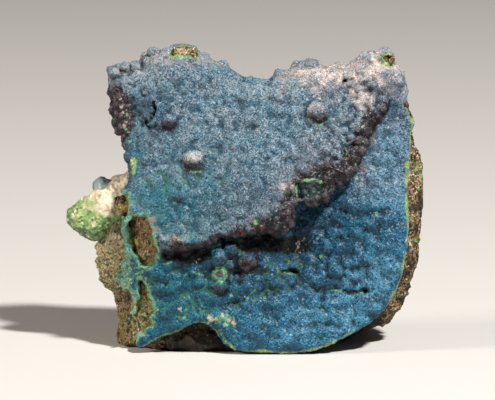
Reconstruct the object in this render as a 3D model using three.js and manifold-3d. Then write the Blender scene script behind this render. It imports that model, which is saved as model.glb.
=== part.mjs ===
// Cornetite specimen: a chunk of broken ore rock that stands on a trimmed base. One crust of blue
// cornetite covers its front and rolls over its top edge. The crust has an upper plate that
// overhangs a lower one along a slanting ledge, round lumps of many sizes, and windows where it
// has broken away down to the rock. A green knob of malachite grows from the rock at the left.
//
// Units are millimetres. The shapes are drawn in the frame of the face: x to the right, y up along
// the face and z out of it. The finished group leans the face back, so that +Z is up, the face
// looks along -Y and the base lies on z = 0.
import * as THREE from "three";
import Module from "manifold-3d";

const wasm = await Module();
wasm.setup();

// ---- driving dimensions -----------------------------------------------------------------------

const LEAN = THREE.MathUtils.degToRad(8); // the face leans back this far from upright
const FLOOR = 3.8; // the base is trimmed this far above the frame's own level
const MIDDLE = { x: -0.7, y: 22.35 }; // the point of the floor that becomes the origin, under the middle

const CRUST = 3; // thickness of the cornetite crust
const GAP = 0.4; // clearance between the crust or the knob and the rock under it
const CRUST_CELL = 2.45; // grid spacing of the crust's skin
const ROCK_CELL = 4; // grid spacing of the rock's skin
const ROCK_SPREAD = 1.2; // the rock's outline is drawn out by this much, which its rounding takes off
const KNOB_CELL = 2.2;

const LEDGE_UNDERCUT = 0.7; // how far the ledge's underside draws in, for each millimetre of depth
const LEDGE_DEPTH = 1.2; // how deep under its front the ledge has its drawn outline
const CRUST_WRAP = 5; // how far the crust turns back round the left and right edges
const TOP_WRAP = 9; // and how far it runs back over the top
const WIDEST = -18; // the rock is widest this far behind the front edge
const BASE_DEPTH = -45; // the rock's back, at the base
const TOP_DEPTH = -25; // and at the top edge

// ---- outlines, as seen square on to the face --------------------------------------------------

// The crust's edge, clockwise from its top left corner.
const CRUST_EDGE = [
  [-34.9, 75], [-33.4, 76.2], [-30.9, 76.8], [-27.6, 76.8], [-25.6, 78.5], [-23.6, 80],
  [-20.4, 80.2], [-18.4, 81.5], [-15.9, 81.8], [-13.6, 81], [-11.9, 79], [-8.4, 77.2],
  [-4.9, 75.5], [-1.4, 73.2], [2.1, 72.8], [4.9, 72], [7.1, 73.8], [10.6, 75],
  [13.1, 77], [17.6, 77], [19.6, 75.8], [24.1, 75.8], [26.1, 77.2], [29.1, 79],
  [32.6, 78.5], [34.6, 79.5], [36.6, 79.2], [36.9, 77], [39.4, 74.8], [40.1, 71.5],
  [40.1, 68], [41.6, 64.2], [41.9, 62], [40.9, 59.2], [40.9, 55], [40.4, 50],
  [40.1, 45], [40.4, 37], [39.9, 30], [38.6, 23.8], [36.9, 19], [34.1, 15],
  [30.6, 11.8], [24.4, 8.2], [17.6, 5.2], [11.1, 4.2], [4.4, 4.5], [-2.9, 5],
  [-5.9, 6.8], [-7.9, 10], [-10.4, 11.8], [-13.4, 12], [-16.9, 10], [-21.9, 8.2],
  [-26.9, 5.5], [-27.9, 6.5], [-27.6, 8.8], [-29.9, 13], [-31.6, 17.5], [-31.4, 22.5],
  [-30.4, 28.8], [-31.1, 33.8], [-31.6, 38.8], [-32.1, 43.5], [-29.9, 46.5], [-29.4, 48.5],
  [-30.1, 55], [-30.9, 58.2], [-32.6, 60], [-33.6, 65], [-34.6, 70],
];

// The ledge's lip, from its left end to the top edge. The upper plate lies above it.
const LEDGE_LIP = [
  [-25.4, 33.8], [-23.9, 31.8], [-21.9, 30.3], [-18.1, 29.8], [-14.4, 30.3], [-11.1, 31.5],
  [-7.9, 32.9], [-4.4, 33.8], [-0.4, 34.2], [3.6, 34.4], [7.1, 34.6], [9.6, 34.8], [11, 36.2],
  [11.5, 39], [11.9, 42.3], [13.4, 42.6], [14.9, 41.6], [18.4, 41.9], [20, 44], [22, 45.8],
  [25, 47.6], [26.9, 49], [27, 51], [28.4, 53.8], [29.9, 56.4], [31.6, 60.2], [33.5, 63.7],
  [34.2, 66], [33.4, 68.5], [32, 71], [31.1, 73.5], [30.1, 76],
];
const UPPER_PLATE = [...LEDGE_LIP, [30, 95], [-50, 95], [-50, 40], [-29, 36]];

// The rock's outline where it is widest, clockwise from its top left corner.
const ROCK_EDGE = [
  [-29, 72.5], [-16, 75.5], [-2, 67.5], [12, 71], [32, 72.5], [36, 68],
  [39, 60], [41.2, 56], [42.6, 54.5], [44, 51.8], [45, 47.5], [44.4, 42.5],
  [43.1, 39], [43.4, 34.5], [42.9, 30], [41.6, 24], [39.4, 18.8], [38.1, 14.8],
  [37, 13.2], [35.2, 12], [31, 11.3], [27.5, 10], [24, 8.4], [18, 5.6], [14, 1], [12, -2],
  [-22, -2],
  [-27, 2], [-32.2, 4.5], [-32.6, 8.8], [-31.9, 12], [-32.6, 15.5], [-33.6, 19.8],
  [-36.1, 20.8], [-37.9, 23], [-38.6, 28], [-38.1, 31.8], [-37, 36], [-35, 41],
  [-31, 46], [-28, 52], [-29, 60], [-31, 68],
];

// The green knob's outline.
const KNOB_EDGE = [
  [-37.9, 45], [-35.4, 46.8], [-33.5, 48.1], [-31, 49.2], [-29, 50.4], [-27, 49],
  [-27, 40], [-30, 36.2], [-34.9, 33.8], [-37.4, 31.8], [-39, 32], [-41.3, 33.4],
  [-44, 34.6], [-46.6, 37.4], [-45.9, 39.9], [-42.4, 42.2],
];

// The round blue-grey lump on top of the knob.
const KNOB_CAP = { x: -36.4, y: 45.7, z: -18, radius: 2.9 };

// Windows, where the crust is broken away down to the rock.
const WINDOWS = {
  left_edge: [[-31, 51.2], [-28.4, 50.8], [-28.4, 47.5], [-31, 47.2]],
  slot: [[-34, 42], [-29.9, 42.5], [-29.6, 38.8], [-30.9, 38.2], [-34, 39.5]],
  big: [
    [-29.1, 37], [-27.6, 38.5], [-24.4, 38.5], [-22.9, 37.5], [-22.6, 33.5], [-22.4, 29.5],
    [-23.4, 27], [-24.9, 25.2], [-26.9, 26], [-27.6, 28.5], [-29.1, 31],
  ],
  triangle: [
    [-27.1, 23], [-25.9, 22.5], [-24.4, 18.5], [-22.9, 14.5], [-24.4, 13], [-27.4, 14],
    [-28.1, 15.5], [-27.1, 18.5],
  ],
  low: [[-28.6, 14.5], [-24.6, 13.8], [-23.4, 12], [-25.4, 10.5], [-25.9, 9], [-31, 9]],
  low_left: [[-33, 20.8], [-29.4, 20.2], [-27.9, 18], [-28.4, 16.8], [-33, 16.6]],
};

// ---- the crust's relief ------------------------------------------------------------------------

// Round lumps on the front: x, y, radius and how far each stands out.
const FACE_LUMPS = [
  [17.6, 64.3, 3, 2.2], [-13.6, 52.2, 3, 1.8], [-17.4, 45, 2.8, 1.3], [-19.6, 62.2, 2.2, 1.8],
  [-17.6, 64, 1.8, 1.2], [-9.4, 56, 2.4, 0.8], [30.9, 71.2, 1.9, 1.5], [33.9, 67.2, 2, 1.7],
  [28, 62.3, 2, 1.3], [0.2, 27, 2.5, 2.3], [-7.4, 28, 2.6, 2.1], [-3.9, 30, 2.3, 1.8],
  [-10, 26.8, 1.9, 1.4], [-7.2, 23.8, 2.2, 1.6], [-7.2, 20.4, 2.2, 1.6], [21.9, 24.6, 2.3, 1.5],
  [16.9, 22.2, 2.5, 1.3], [10.6, 22, 1.8, 1], [6.4, 21.9, 1.9, 1.1], [2.2, 22.4, 1.8, 0.9],
  [-16.9, 14.2, 1.7, 0.9], [1.9, 9.4, 1.9, 0.9], [26.9, 30, 2.4, 0.7], [24.4, 55, 2.2, 1.4],
  [21.5, 49.5, 3, 1.9], [14.8, 49, 2.2, 1.4], [25.6, 48.5, 2.2, 1.6], [18.6, 41.8, 2.4, 2],
  [11.2, 38, 2.1, 1.7], [-31.8, 66, 2, 1],
];

// Round lumps along the top edge: x, y, z and radius.
const RIM_LUMPS = [
  [-30.8, 75, -13.5, 2.8], [-27.6, 74.9, -13, 2.6], [-23.4, 78.6, -14, 2.9], [9, 72.8, -14, 3],
  [12.4, 74.6, -15, 3], [15.8, 75, -15, 3], [18.4, 74.6, -14, 2.6], [26.2, 75, -15, 2.8],
  [29.4, 76.9, -15, 3.1], [34.7, 76.6, -14, 3],
];

// Lumps strewn over the ledge's lip.
const LIP_LUMPS = { count: 30, reach: 4.5, least: 2.1, most: 2.9, seed: 7 };

// Hollows under the front: x, y, depth below the front and radius.
const HOLLOWS = [
  [15.2, 46, 0.2, 2.6],
  [11.4, 24.9, 0.4, 1.6],
];

// Long shallow folds of the front: from x, y to x, y, half width and depth.
const FOLDS = [
  [8, 12.6, 15, 11, 2.2, 0.7],
  [15, 11, 26, 11.4, 2.2, 0.7],
  [21, 20.4, 31, 19.2, 1.8, 0.9],
  [-28, 65, -24, 60, 2.4, 1],
  [-6, 61.5, 1, 60.5, 2.4, 0.6],
  [-24, 29.5, -17, 24.5, 2.2, 0.7],
  [-3, 17, 6, 20, 2.4, 0.7],
];

// ---- the breaks that shaped the rock's back: a normal, and the distance along it ---------------

const BREAKS = [
  [0.55, 0.25, -0.8, 52], [-0.5, 0.2, -0.84, 43], [0.1, 0.75, -0.65, 69], [-0.72, -0.1, -0.68, 43],
  [0.75, -0.25, -0.6, 45], [-0.3, -0.55, -0.78, 27], [0.3, 0.5, -0.81, 58],
];

// ---- fields: negative inside the solid, and about one per millimetre ---------------------------

const clamp = THREE.MathUtils.clamp;
const ramp = (from, to, t) => {
  const x = clamp((t - from) / (to - from), 0, 1);
  return x * x * (3 - 2 * x);
};

// The union of two fields, with a fillet of about k.
function join(a, b, k) {
  const h = Math.max(k - Math.abs(a - b), 0) / k;
  return Math.min(a, b) - (h * h * k) / 4;
}

// What two fields have in common, with an edge rounded by about k.
const meet = (a, b, k) => -join(-a, -b, k);

// A soft swell of that height around (x, y).
function swell(u, v, x, y, radius, height) {
  const far = ((u - x) ** 2 + (v - y) ** 2) / radius ** 2;
  return height * Math.exp(-far);
}

// Signed distance to a closed outline, negative inside it.
function distanceTo(outline) {
  return (u, v) => {
    let nearest = Infinity;
    let inside = false;
    for (let i = 0, j = outline.length - 1; i < outline.length; j = i++) {
      const [ax, ay] = outline[j];
      const [bx, by] = outline[i];
      const ex = bx - ax;
      const ey = by - ay;
      const t = clamp(((u - ax) * ex + (v - ay) * ey) / (ex * ex + ey * ey), 0, 1);
      nearest = Math.min(nearest, Math.hypot(u - ax - ex * t, v - ay - ey * t));
      if (ay > v !== by > v && u < ax + (ex * (v - ay)) / ey) inside = !inside;
    }
    return inside ? -nearest : nearest;
  };
}

// The same stream of random numbers from the same seed, each from 0 to 1.
function stream(seed) {
  let state = seed;
  return () => {
    state = (Math.imul(state, 1664525) + 1013904223) >>> 0;
    return state / 2 ** 32;
  };
}

// Smooth noise from -1 to 1, with one cell each unit.
function noise(x, y, z) {
  const [i, j, k] = [Math.floor(x), Math.floor(y), Math.floor(z)];
  const ease = (t) => t * t * (3 - 2 * t);
  const [a, b, c] = [ease(x - i), ease(y - j), ease(z - k)];
  const at = (di, dj, dk) => {
    let h = Math.imul(i + di, 374761393) ^ Math.imul(j + dj, 668265263) ^ Math.imul(k + dk, 2147483647);
    h = Math.imul(h ^ (h >>> 13), 1274126177);
    return ((h ^ (h >>> 16)) >>> 0) / 2 ** 31 - 1;
  };
  const mix = THREE.MathUtils.lerp;
  return mix(
    mix(mix(at(0, 0, 0), at(1, 0, 0), a), mix(at(0, 1, 0), at(1, 1, 0), a), b),
    mix(mix(at(0, 0, 1), at(1, 0, 1), a), mix(at(0, 1, 1), at(1, 1, 1), a), b),
    c,
  );
}

const crustEdge = distanceTo(CRUST_EDGE);
const upperPlate = distanceTo(UPPER_PLATE);
const rockEdge = distanceTo(ROCK_EDGE);
const knobEdge = distanceTo(KNOB_EDGE);

// How deep the long folds are at one place.
function foldDepth(u, v) {
  let depth = 0;
  for (const [ax, ay, bx, by, half, deep] of FOLDS) {
    const [ex, ey] = [bx - ax, by - ay];
    const t = clamp(((u - ax) * ex + (v - ay) * ey) / (ex * ex + ey * ey), 0, 1);
    const away = Math.hypot(u - ax - ex * t, v - ay - ey * t);
    depth = Math.max(depth, deep * ramp(half, 0, away));
  }
  return depth;
}

// How far the lower plate's front lies in front of the face's own plane. It runs back under the
// ledge, and its foot stands furthest out.
function lowerFace(u, v) {
  const up = clamp((v - 4) / 26, 0, 1);
  const spread = ramp(32, 12, v);
  const full = ramp(13 + 11 * spread, 6 - 9 * spread, u) * ramp(46, 36, v);
  const depth = 8 - 5.8 * full * (1 - 0.5 * ramp(-18, -32, u));
  return (
    -depth * (1 - (1 - up) ** 1.6) -
    0.08 * Math.max(v - 30, 0) -
    0.012 * Math.max(-u - 15, 0) ** 2 -
    0.01 * Math.max(u - 25, 0) ** 2 +
    swell(u, v, 33, 32, 13, 2.4) +
    swell(u, v, 20, 27, 8, 1) +
    swell(u, v, -22, 27, 8, 2.4) +
    swell(u, v, 8, 15, 12, 0.8) -
    foldDepth(u, v)
  );
}

// The upper plate's front, which leans back towards the top edge.
function upperFace(u, v) {
  return (
    0.8 -
    0.27 * (v - 33) -
    0.01 * Math.max(-u - 18, 0) ** 2 -
    0.05 * Math.max(u - 18, 0) ** 1.5 +
    swell(u, v, 8, 40, 14, 2.2) +
    swell(u, v, -8, 55, 12, 1.3) +
    swell(u, v, -20, 33, 9, 0.8) +
    swell(u, v, 16, 72, 9, 0.9) +
    swell(u, v, -17, 74, 8, 0.8) -
    foldDepth(u, v)
  );
}

// The two plates as one smooth body that reaches back into the rock, for one place on the face,
// drawn in on every side by an inset.
function plates(u, v, inset = 0) {
  const edge = crustEdge(u, v) + inset;
  const lip = upperPlate(u, v) + 1.5 * inset;
  const low = lowerFace(u, v) - inset;
  const high = upperFace(u, v) - inset;
  const roll = 1.4 + 5 * ramp(62, 78, v) + 2 * ramp(-24, -33, u);
  return (w) => {
    const below = meet(w - low, edge, roll);
    const above = meet(w - high, lip + LEDGE_UNDERCUT * (high - w - LEDGE_DEPTH), 2 + inset);
    return join(below, meet(above, edge, roll), 1.2 + inset);
  };
}

// Where the front of the plates lies at one place on the face.
function frontAt(u, v) {
  const field = plates(u, v);
  let w = 8;
  while (w > -30 && field(w) > 0) w -= 0.1;
  return w;
}

// Round lumps as balls: centre, radius.
function lumpBalls() {
  const balls = FACE_LUMPS.map(([x, y, r, height]) => {
    const radius = (r * r + height * height) / (2 * height);
    return { x, y, z: frontAt(x, y) + height - radius, radius };
  });
  for (const [x, y, z, radius] of RIM_LUMPS) balls.push({ x, y, z, radius });
  const random = stream(LIP_LUMPS.seed);
  for (let i = 0; i < LIP_LUMPS.count; i++) {
    const along = random() * (LEDGE_LIP.length - 3);
    const k = Math.floor(along);
    const [ax, ay] = LEDGE_LIP[k];
    const [bx, by] = LEDGE_LIP[k + 1];
    const length = Math.hypot(bx - ax, by - ay);
    const inward = LIP_LUMPS.reach * random() ** 1.5;
    const x = ax + (bx - ax) * (along - k) - ((by - ay) / length) * inward;
    const y = ay + (by - ay) * (along - k) + ((bx - ax) / length) * inward;
    const radius = THREE.MathUtils.lerp(LIP_LUMPS.least, LIP_LUMPS.most, random());
    balls.push({ x, y, z: upperFace(x, y) - 0.75 * radius - 1.5 * random(), radius });
  }
  return balls;
}
const BALLS = lumpBalls();
const PITS = HOLLOWS.map(([x, y, z, radius]) => ({ x, y, z: frontAt(x, y) - z, radius }));

// How far back the crust goes at one place: it turns back round the left and right edges, runs
// far back over the top, and ends in a thin edge along its foot.
function crustEnd(u, v) {
  const over = ramp(60, 72, v) * ramp(41, 34, u);
  const wrap = CRUST_WRAP + (TOP_WRAP - CRUST_WRAP) * over - 2 * ramp(16, 8, v);
  return lowerFace(u, v) - wrap - 1.5 * noise(u / 9, v / 9, 3);
}

// The crust's outside, with its lumps, back to where the crust ends.
function crustOutside(u, v) {
  const body = plates(u, v);
  const near = BALLS.filter((b) => Math.hypot(u - b.x, v - b.y) < b.radius + 3);
  const end = crustEnd(u, v);
  return (w) => {
    let field = body(w);
    for (const b of near) {
      field = join(field, Math.hypot(u - b.x, v - b.y, w - b.z) - b.radius, 0.8);
    }
    for (const b of PITS) {
      field = meet(field, b.radius - Math.hypot(u - b.x, v - b.y, w - b.z), 0.6);
    }
    return meet(field, end - 2 - w, 1);
  };
}

// The rock: what lies under the crust, and the broken chunk behind it.
function rock(u, v) {
  const underCrust = plates(u, v, CRUST);
  const edge = rockEdge(u, v) - ROCK_SPREAD;
  const bulge = 3 * noise(u / 17, v / 17, 0.5);
  const back = BASE_DEPTH + (TOP_DEPTH - BASE_DEPTH) * clamp(v / 76, 0, 1) + bulge;
  const end = crustEnd(u, v);
  const aft = 0.4 * ramp(2, 24, v);
  return (w) => {
    const rough = 0.9 * noise(u / 6, v / 6, w / 6) + 0.5 * noise(u / 3.1, v / 3.1, w / 3.1 + 9);
    const narrowing = 0.62 * Math.max(w - WIDEST, 0) + aft * Math.max(WIDEST - 6 - w, 0);
    let chunk = meet(edge + narrowing, back - w, 5);
    for (const [x, y, z, far] of BREAKS) chunk = meet(chunk, u * x + v * y + w * z - far, 1.5);
    chunk = Math.max(chunk + rough, w - end);
    return join(Math.max(underCrust(w), back + 4 - w), chunk, 1);
  };
}

// The green knob: a blunt cone that points to the left, with a rough skin.
function knob(u, v) {
  const edge = knobEdge(u, v);
  return (w) => {
    const rough = 0.5 * noise(u / 3 + 5, v / 3, w / 3) + 0.3 * noise(u / 1.6, v / 1.6, w / 1.6);
    const thick = Math.abs(w + 19) - (5 + 0.25 * clamp(u + 45, 0, 14));
    const cap = Math.hypot(u - KNOB_CAP.x, v - KNOB_CAP.y, w - KNOB_CAP.z) - KNOB_CAP.radius;
    return join(meet(edge, thick, 5) + rough, cap, 0.8);
  };
}

// ---- from fields to solids ---------------------------------------------------------------------

const CORNERS = [
  [0, 0, 0], [1, 0, 0], [0, 1, 0], [1, 1, 0], [0, 0, 1], [1, 0, 1], [0, 1, 1], [1, 1, 1],
];
const CELL_EDGES = [
  [0, 1], [2, 3], [4, 5], [6, 7], [0, 2], [1, 3], [4, 6], [5, 7], [0, 4], [1, 5], [2, 6], [3, 7],
];

const spaced = (from, to, step) =>
  Array.from({ length: Math.ceil((to - from) / step) + 1 }, (_, i) => from + i * step);

// The closed skin of a field over a grid: a vertex in each cell that the surface passes through,
// at the mean of the points where it cuts that cell's edges, and four-sided faces between them.
function skin(column, us, vs, ws) {
  const [nu, nv, nw] = [us.length, vs.length, ws.length];
  const at = (i, j, k) => (i * nv + j) * nw + k;
  const values = new Float64Array(nu * nv * nw).fill(1);
  for (let i = 1; i < nu - 1; i++) {
    for (let j = 1; j < nv - 1; j++) {
      const field = column(us[i], vs[j]);
      for (let k = 1; k < nw - 1; k++) values[at(i, j, k)] = field(ws[k]) || 1e-6;
    }
  }
  fillPinches(values, [nu, nv, nw], at);

  const points = [];
  const vertexOf = new Map();
  for (let i = 0; i < nu - 1; i++) {
    for (let j = 0; j < nv - 1; j++) {
      for (let k = 0; k < nw - 1; k++) {
        const here = CORNERS.map(([a, b, c]) => values[at(i + a, j + b, k + c)]);
        const cuts = CELL_EDGES.filter(([p, q]) => here[p] < 0 !== here[q] < 0);
        if (!cuts.length) continue;
        const mean = new THREE.Vector3();
        for (const [p, q] of cuts) {
          const t = here[p] / (here[p] - here[q]);
          const place = (c) => {
            const [a, b, d] = CORNERS[c];
            return new THREE.Vector3(us[i + a], vs[j + b], ws[k + d]);
          };
          mean.add(place(p).lerp(place(q), t));
        }
        vertexOf.set(at(i, j, k), points.length);
        points.push(mean.divideScalar(cuts.length));
      }
    }
  }

  const faces = [];
  const steps = [[1, 0, 0], [0, 1, 0], [0, 0, 1]];
  for (let i = 0; i < nu - 1; i++) {
    for (let j = 0; j < nv - 1; j++) {
      for (let k = 0; k < nw - 1; k++) {
        steps.forEach(([di, dj, dk], axis) => {
          const inside = values[at(i, j, k)] < 0;
          if (inside === values[at(i + di, j + dj, k + dk)] < 0) return;
          const p = steps[(axis + 1) % 3];
          const q = steps[(axis + 2) % 3];
          const cell = (a, b) =>
            vertexOf.get(at(i - a * p[0] - b * q[0], j - a * p[1] - b * q[1], k - a * p[2] - b * q[2]));
          const ring = [cell(1, 1), cell(0, 1), cell(0, 0), cell(1, 0)];
          if (!inside) ring.reverse();
          const [a, b, c, d] = ring;
          const short = points[a].distanceTo(points[c]) < points[b].distanceTo(points[d]);
          if (short) faces.push(a, b, c, a, c, d);
          else faces.push(b, c, d, b, d, a);
        });
      }
    }
  }
  return { points, faces };
}

// The same skin with every vertex moved outward along its normal.
function grown({ points, faces }, by) {
  const normals = points.map(() => new THREE.Vector3());
  for (let i = 0; i < faces.length; i += 3) {
    const [a, b, c] = faces.slice(i, i + 3).map((n) => points[n]);
    const face = b.clone().sub(a).cross(c.clone().sub(a));
    for (const n of faces.slice(i, i + 3)) normals[n].add(face);
  }
  return { points: points.map((p, i) => p.clone().addScaledVector(normals[i].normalize(), by)), faces };
}

// Fills the grid points where two parts of the surface would touch along an edge.
function fillPinches(values, [nu, nv, nw], at) {
  const steps = [[1, 0, 0], [0, 1, 0], [0, 0, 1]];
  for (let again = true; again; ) {
    again = false;
    for (let i = 1; i < nu - 1; i++) {
      for (let j = 1; j < nv - 1; j++) {
        for (let k = 1; k < nw - 1; k++) {
          for (let axis = 0; axis < 3; axis++) {
            const p = steps[axis];
            const q = steps[(axis + 1) % 3];
            const ring = [
              at(i, j, k),
              at(i + p[0], j + p[1], k + p[2]),
              at(i + p[0] + q[0], j + p[1] + q[1], k + p[2] + q[2]),
              at(i + q[0], j + q[1], k + q[2]),
            ];
            const [a, b, c, d] = ring.map((n) => values[n] < 0);
            if (a !== c || b !== d || a === b) continue;
            values[a ? ring[1] : ring[0]] = -1e-3;
            again = true;
          }
        }
      }
    }
  }
}

function solid({ points, faces }) {
  const vertProperties = new Float32Array(points.flatMap((p) => [p.x, p.y, p.z]));
  return new wasm.Manifold(
    new wasm.Mesh({ numProp: 3, vertProperties, triVerts: new Uint32Array(faces) }),
  );
}

// A block over an outline, from one height above the face to another.
function block(outline, from, to) {
  const shape = new THREE.Shape(outline.map(([x, y]) => new THREE.Vector2(x, y)));
  const depth = to - from;
  const made = new THREE.ExtrudeGeometry(shape, { depth, bevelEnabled: false });
  return fromGeometry(made.translate(0, 0, from));
}

function fromGeometry(geometry) {
  const flat = geometry.index ? geometry.toNonIndexed() : geometry;
  const loose = flat.getAttribute("position");
  const points = [];
  const seen = new Map();
  const faces = [];
  for (let i = 0; i < loose.count; i++) {
    const p = new THREE.Vector3().fromBufferAttribute(loose, i);
    const key = p.toArray().map((x) => x.toFixed(4)).join();
    if (!seen.has(key)) seen.set(key, points.push(p) - 1);
    faces.push(seen.get(key));
  }
  return solid({ points, faces });
}

// Everything under the floor, in the face's frame.
function underFloor() {
  const slab = new THREE.BoxGeometry(200, 200, 50).translate(0, 0, FLOOR - 25);
  return fromGeometry(slab.applyMatrix4(new THREE.Matrix4().makeRotationX(LEAN - Math.PI / 2)));
}

const largest = (made) => made.decompose().reduce((a, b) => (a.volume() > b.volume() ? a : b));

function toMesh(made, name, color, roughness) {
  const { vertProperties, triVerts, numProp } = made.getMesh();
  const geometry = new THREE.BufferGeometry();
  const data = new THREE.InterleavedBuffer(vertProperties, numProp);
  geometry.setAttribute("position", new THREE.InterleavedBufferAttribute(data, 3, 0));
  geometry.setIndex(new THREE.BufferAttribute(new Uint32Array(triVerts), 1));
  const material = new THREE.MeshStandardMaterial({ color, roughness, metalness: 0 });
  const mesh = new THREE.Mesh(geometry, material);
  mesh.name = name;
  return mesh;
}

// ---- the pieces --------------------------------------------------------------------------------

const rockGrid = [
  spaced(-50, 52, ROCK_CELL),
  spaced(-6, 86, ROCK_CELL),
  spaced(-58, 8, ROCK_CELL),
];
const rockSkin = skin(rock, ...rockGrid);
const rockSolid = largest(solid(rockSkin).subtract(underFloor()));
const rockClearance = solid(grown(rockSkin, GAP));

const crustGrid = [
  spaced(-42, 48, CRUST_CELL),
  spaced(-2, 88, CRUST_CELL),
  spaced(-32, 10, CRUST_CELL),
];
let crustSolid = solid(skin(crustOutside, ...crustGrid)).subtract(rockClearance).subtract(rockSolid);
for (const outline of Object.values(WINDOWS)) {
  crustSolid = crustSolid.subtract(block(outline, -30, 12));
}
crustSolid = largest(crustSolid.subtract(underFloor()));

const knobGrid = [
  spaced(-52, -22, KNOB_CELL),
  spaced(26, 54, KNOB_CELL),
  spaced(-36, -2, KNOB_CELL),
];
const knobSkin = solid(skin(knob, ...knobGrid));
const crustClearance = solid(grown(skin(crustOutside, ...crustGrid), GAP));
const knobSolid = largest(knobSkin.subtract(rockClearance).subtract(crustClearance));

const specimen = new THREE.Group();
specimen.add(toMesh(rockSolid, "matrix", 0x6e5a44, 0.85));
specimen.add(toMesh(crustSolid, "cornetite_crust", 0x3a6c8c, 0.45));
specimen.add(toMesh(knobSolid, "malachite_knob", 0x8fb27a, 0.7));
specimen.rotation.x = Math.PI / 2 - LEAN;
specimen.position.set(-MIDDLE.x, -MIDDLE.y, -FLOOR);

const root = new THREE.Group();
root.add(specimen);
export default root;
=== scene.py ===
import bpy
import math
import numpy as np
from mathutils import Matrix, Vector


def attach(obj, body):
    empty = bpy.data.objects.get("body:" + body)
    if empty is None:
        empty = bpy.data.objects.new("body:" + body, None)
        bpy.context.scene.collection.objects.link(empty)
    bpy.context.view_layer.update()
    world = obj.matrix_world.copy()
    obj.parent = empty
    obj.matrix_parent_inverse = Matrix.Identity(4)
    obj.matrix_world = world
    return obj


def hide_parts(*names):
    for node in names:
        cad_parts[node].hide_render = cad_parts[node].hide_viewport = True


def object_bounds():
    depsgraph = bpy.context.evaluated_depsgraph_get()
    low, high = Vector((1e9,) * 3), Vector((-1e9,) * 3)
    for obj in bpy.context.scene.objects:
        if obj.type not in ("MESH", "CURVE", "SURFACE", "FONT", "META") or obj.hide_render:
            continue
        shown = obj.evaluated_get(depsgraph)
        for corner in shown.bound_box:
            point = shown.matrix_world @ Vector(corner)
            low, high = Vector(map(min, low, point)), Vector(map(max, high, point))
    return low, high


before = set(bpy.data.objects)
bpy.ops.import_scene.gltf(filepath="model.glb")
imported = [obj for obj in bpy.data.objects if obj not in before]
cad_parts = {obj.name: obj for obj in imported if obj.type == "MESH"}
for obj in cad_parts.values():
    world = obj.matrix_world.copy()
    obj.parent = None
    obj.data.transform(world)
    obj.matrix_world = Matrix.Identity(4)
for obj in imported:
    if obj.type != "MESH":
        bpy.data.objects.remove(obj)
cad_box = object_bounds()

# ---- stand, light and camera -------------------------------------------------------------------
# The specimen stands on a plain pale surface under soft studio light: one lamp high above, in
# front and to the right, a faint warm one at the left, and a dim white room.
LAMP_AIM = Vector((0, 0, 0.04))


def linear(code):
    """An sRGB colour such as "8fb27a" as linear red, green, blue and 1."""
    parts = [int(code[i:i + 2], 16) / 255 for i in (0, 2, 4)]
    return (*(c / 12.92 if c <= 0.04045 else ((c + 0.055) / 1.055) ** 2.4 for c in parts), 1)


def lamp(name, where, size, watts, colour):
    """A round lamp that points at the specimen."""
    data = bpy.data.lights.new(name, "AREA")
    data.shape = "DISK"
    data.size = size
    data.energy = watts
    data.color = linear(colour)[:3]
    ob = bpy.data.objects.new(name, data)
    bpy.context.collection.objects.link(ob)
    ob.location = where
    ob.rotation_euler = (ob.location - LAMP_AIM).to_track_quat("Z", "Y").to_euler()


lamp("key_lamp", (0.6, -0.74, 1.2), 0.15, 32, "fffaf4")
lamp("side_lamp", (-1.4, -0.35, 0.6), 0.5, 15, "fff0e4")

world = bpy.data.worlds.new("dim_white_room")
bpy.context.scene.world = world
bpy.context.scene.view_settings.view_transform = "Standard"  # colours show as they are given
world.use_nodes = True
world.node_tree.nodes["Background"].inputs["Color"].default_value = linear("f2f2f4")
world.node_tree.nodes["Background"].inputs["Strength"].default_value = 0.06


def material(name, roughness, ior=1.5):
    """A new material, with its node tree and its shader."""
    made = bpy.data.materials.new(name)
    made.use_nodes = True
    shader = made.node_tree.nodes["Principled BSDF"]
    shader.inputs["Roughness"].default_value = roughness
    shader.inputs["IOR"].default_value = ior
    return made, made.node_tree, shader


# Matt white paper: it catches the shadow and has no gloss.
FLOOR_HALF = 4
floor_mesh = bpy.data.meshes.new("pale_floor")
floor_corners = [(x * FLOOR_HALF, y * FLOOR_HALF, 0) for x, y in ((-1, -1), (1, -1), (1, 1), (-1, 1))]
floor_mesh.from_pydata(floor_corners, [], [(0, 1, 2, 3)])
floor = bpy.data.objects.new("pale_floor", floor_mesh)
bpy.context.collection.objects.link(floor)
paper, tree, shader = material("matt_paper", 0.9)
shader.inputs["Base Color"].default_value = linear("dddcda")
floor_mesh.materials.append(paper)

# All lists below are in millimetres in the frame of the crust's face: u to the right, v up along
# the face and w out of it. The face leans back by LEAN, and ORIGIN is the place on the floor
# under the specimen's middle, which is trimmed level there.
MM = 1000  # millimetres in a metre
LEAN = math.radians(8)
ORIGIN = (-0.7, 22.35, 3.8)


def height(v, w):
    """The height above the row's origin, before ORIGIN is taken off."""
    return v * math.cos(LEAN) + w * math.sin(LEAN)


def to_row(points):
    """Points of the face's frame, in millimetres, as metres in the row's frame."""
    u, v, w = np.asarray(points, float).T
    back = v * math.sin(LEAN) - w * math.cos(LEAN)
    return (np.stack([u, back, height(v, w)], 1) - ORIGIN) / MM


# The camera stands far off with a long lens, square to the face, so that one millimetre of it
# is 4 pixels of the image.
VIEW_WIDTH = 0.12375
VIEW_MIDDLE = (0, 42.5, -6)
CAMERA_FAR = 1.6
SENSOR = 36
camera_data = bpy.data.cameras.new("camera")
camera = bpy.data.objects.new("camera", camera_data)
bpy.context.collection.objects.link(camera)
bpy.context.scene.camera = camera
camera_data.sensor_width = SENSOR
camera_data.lens = SENSOR * CAMERA_FAR / VIEW_WIDTH
facing = Vector((0, math.cos(LEAN), -math.sin(LEAN)))
camera.location = Vector(to_row([VIEW_MIDDLE])[0]) - facing * CAMERA_FAR
camera.rotation_euler = (math.pi / 2 - LEAN, 0, 0)

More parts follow.
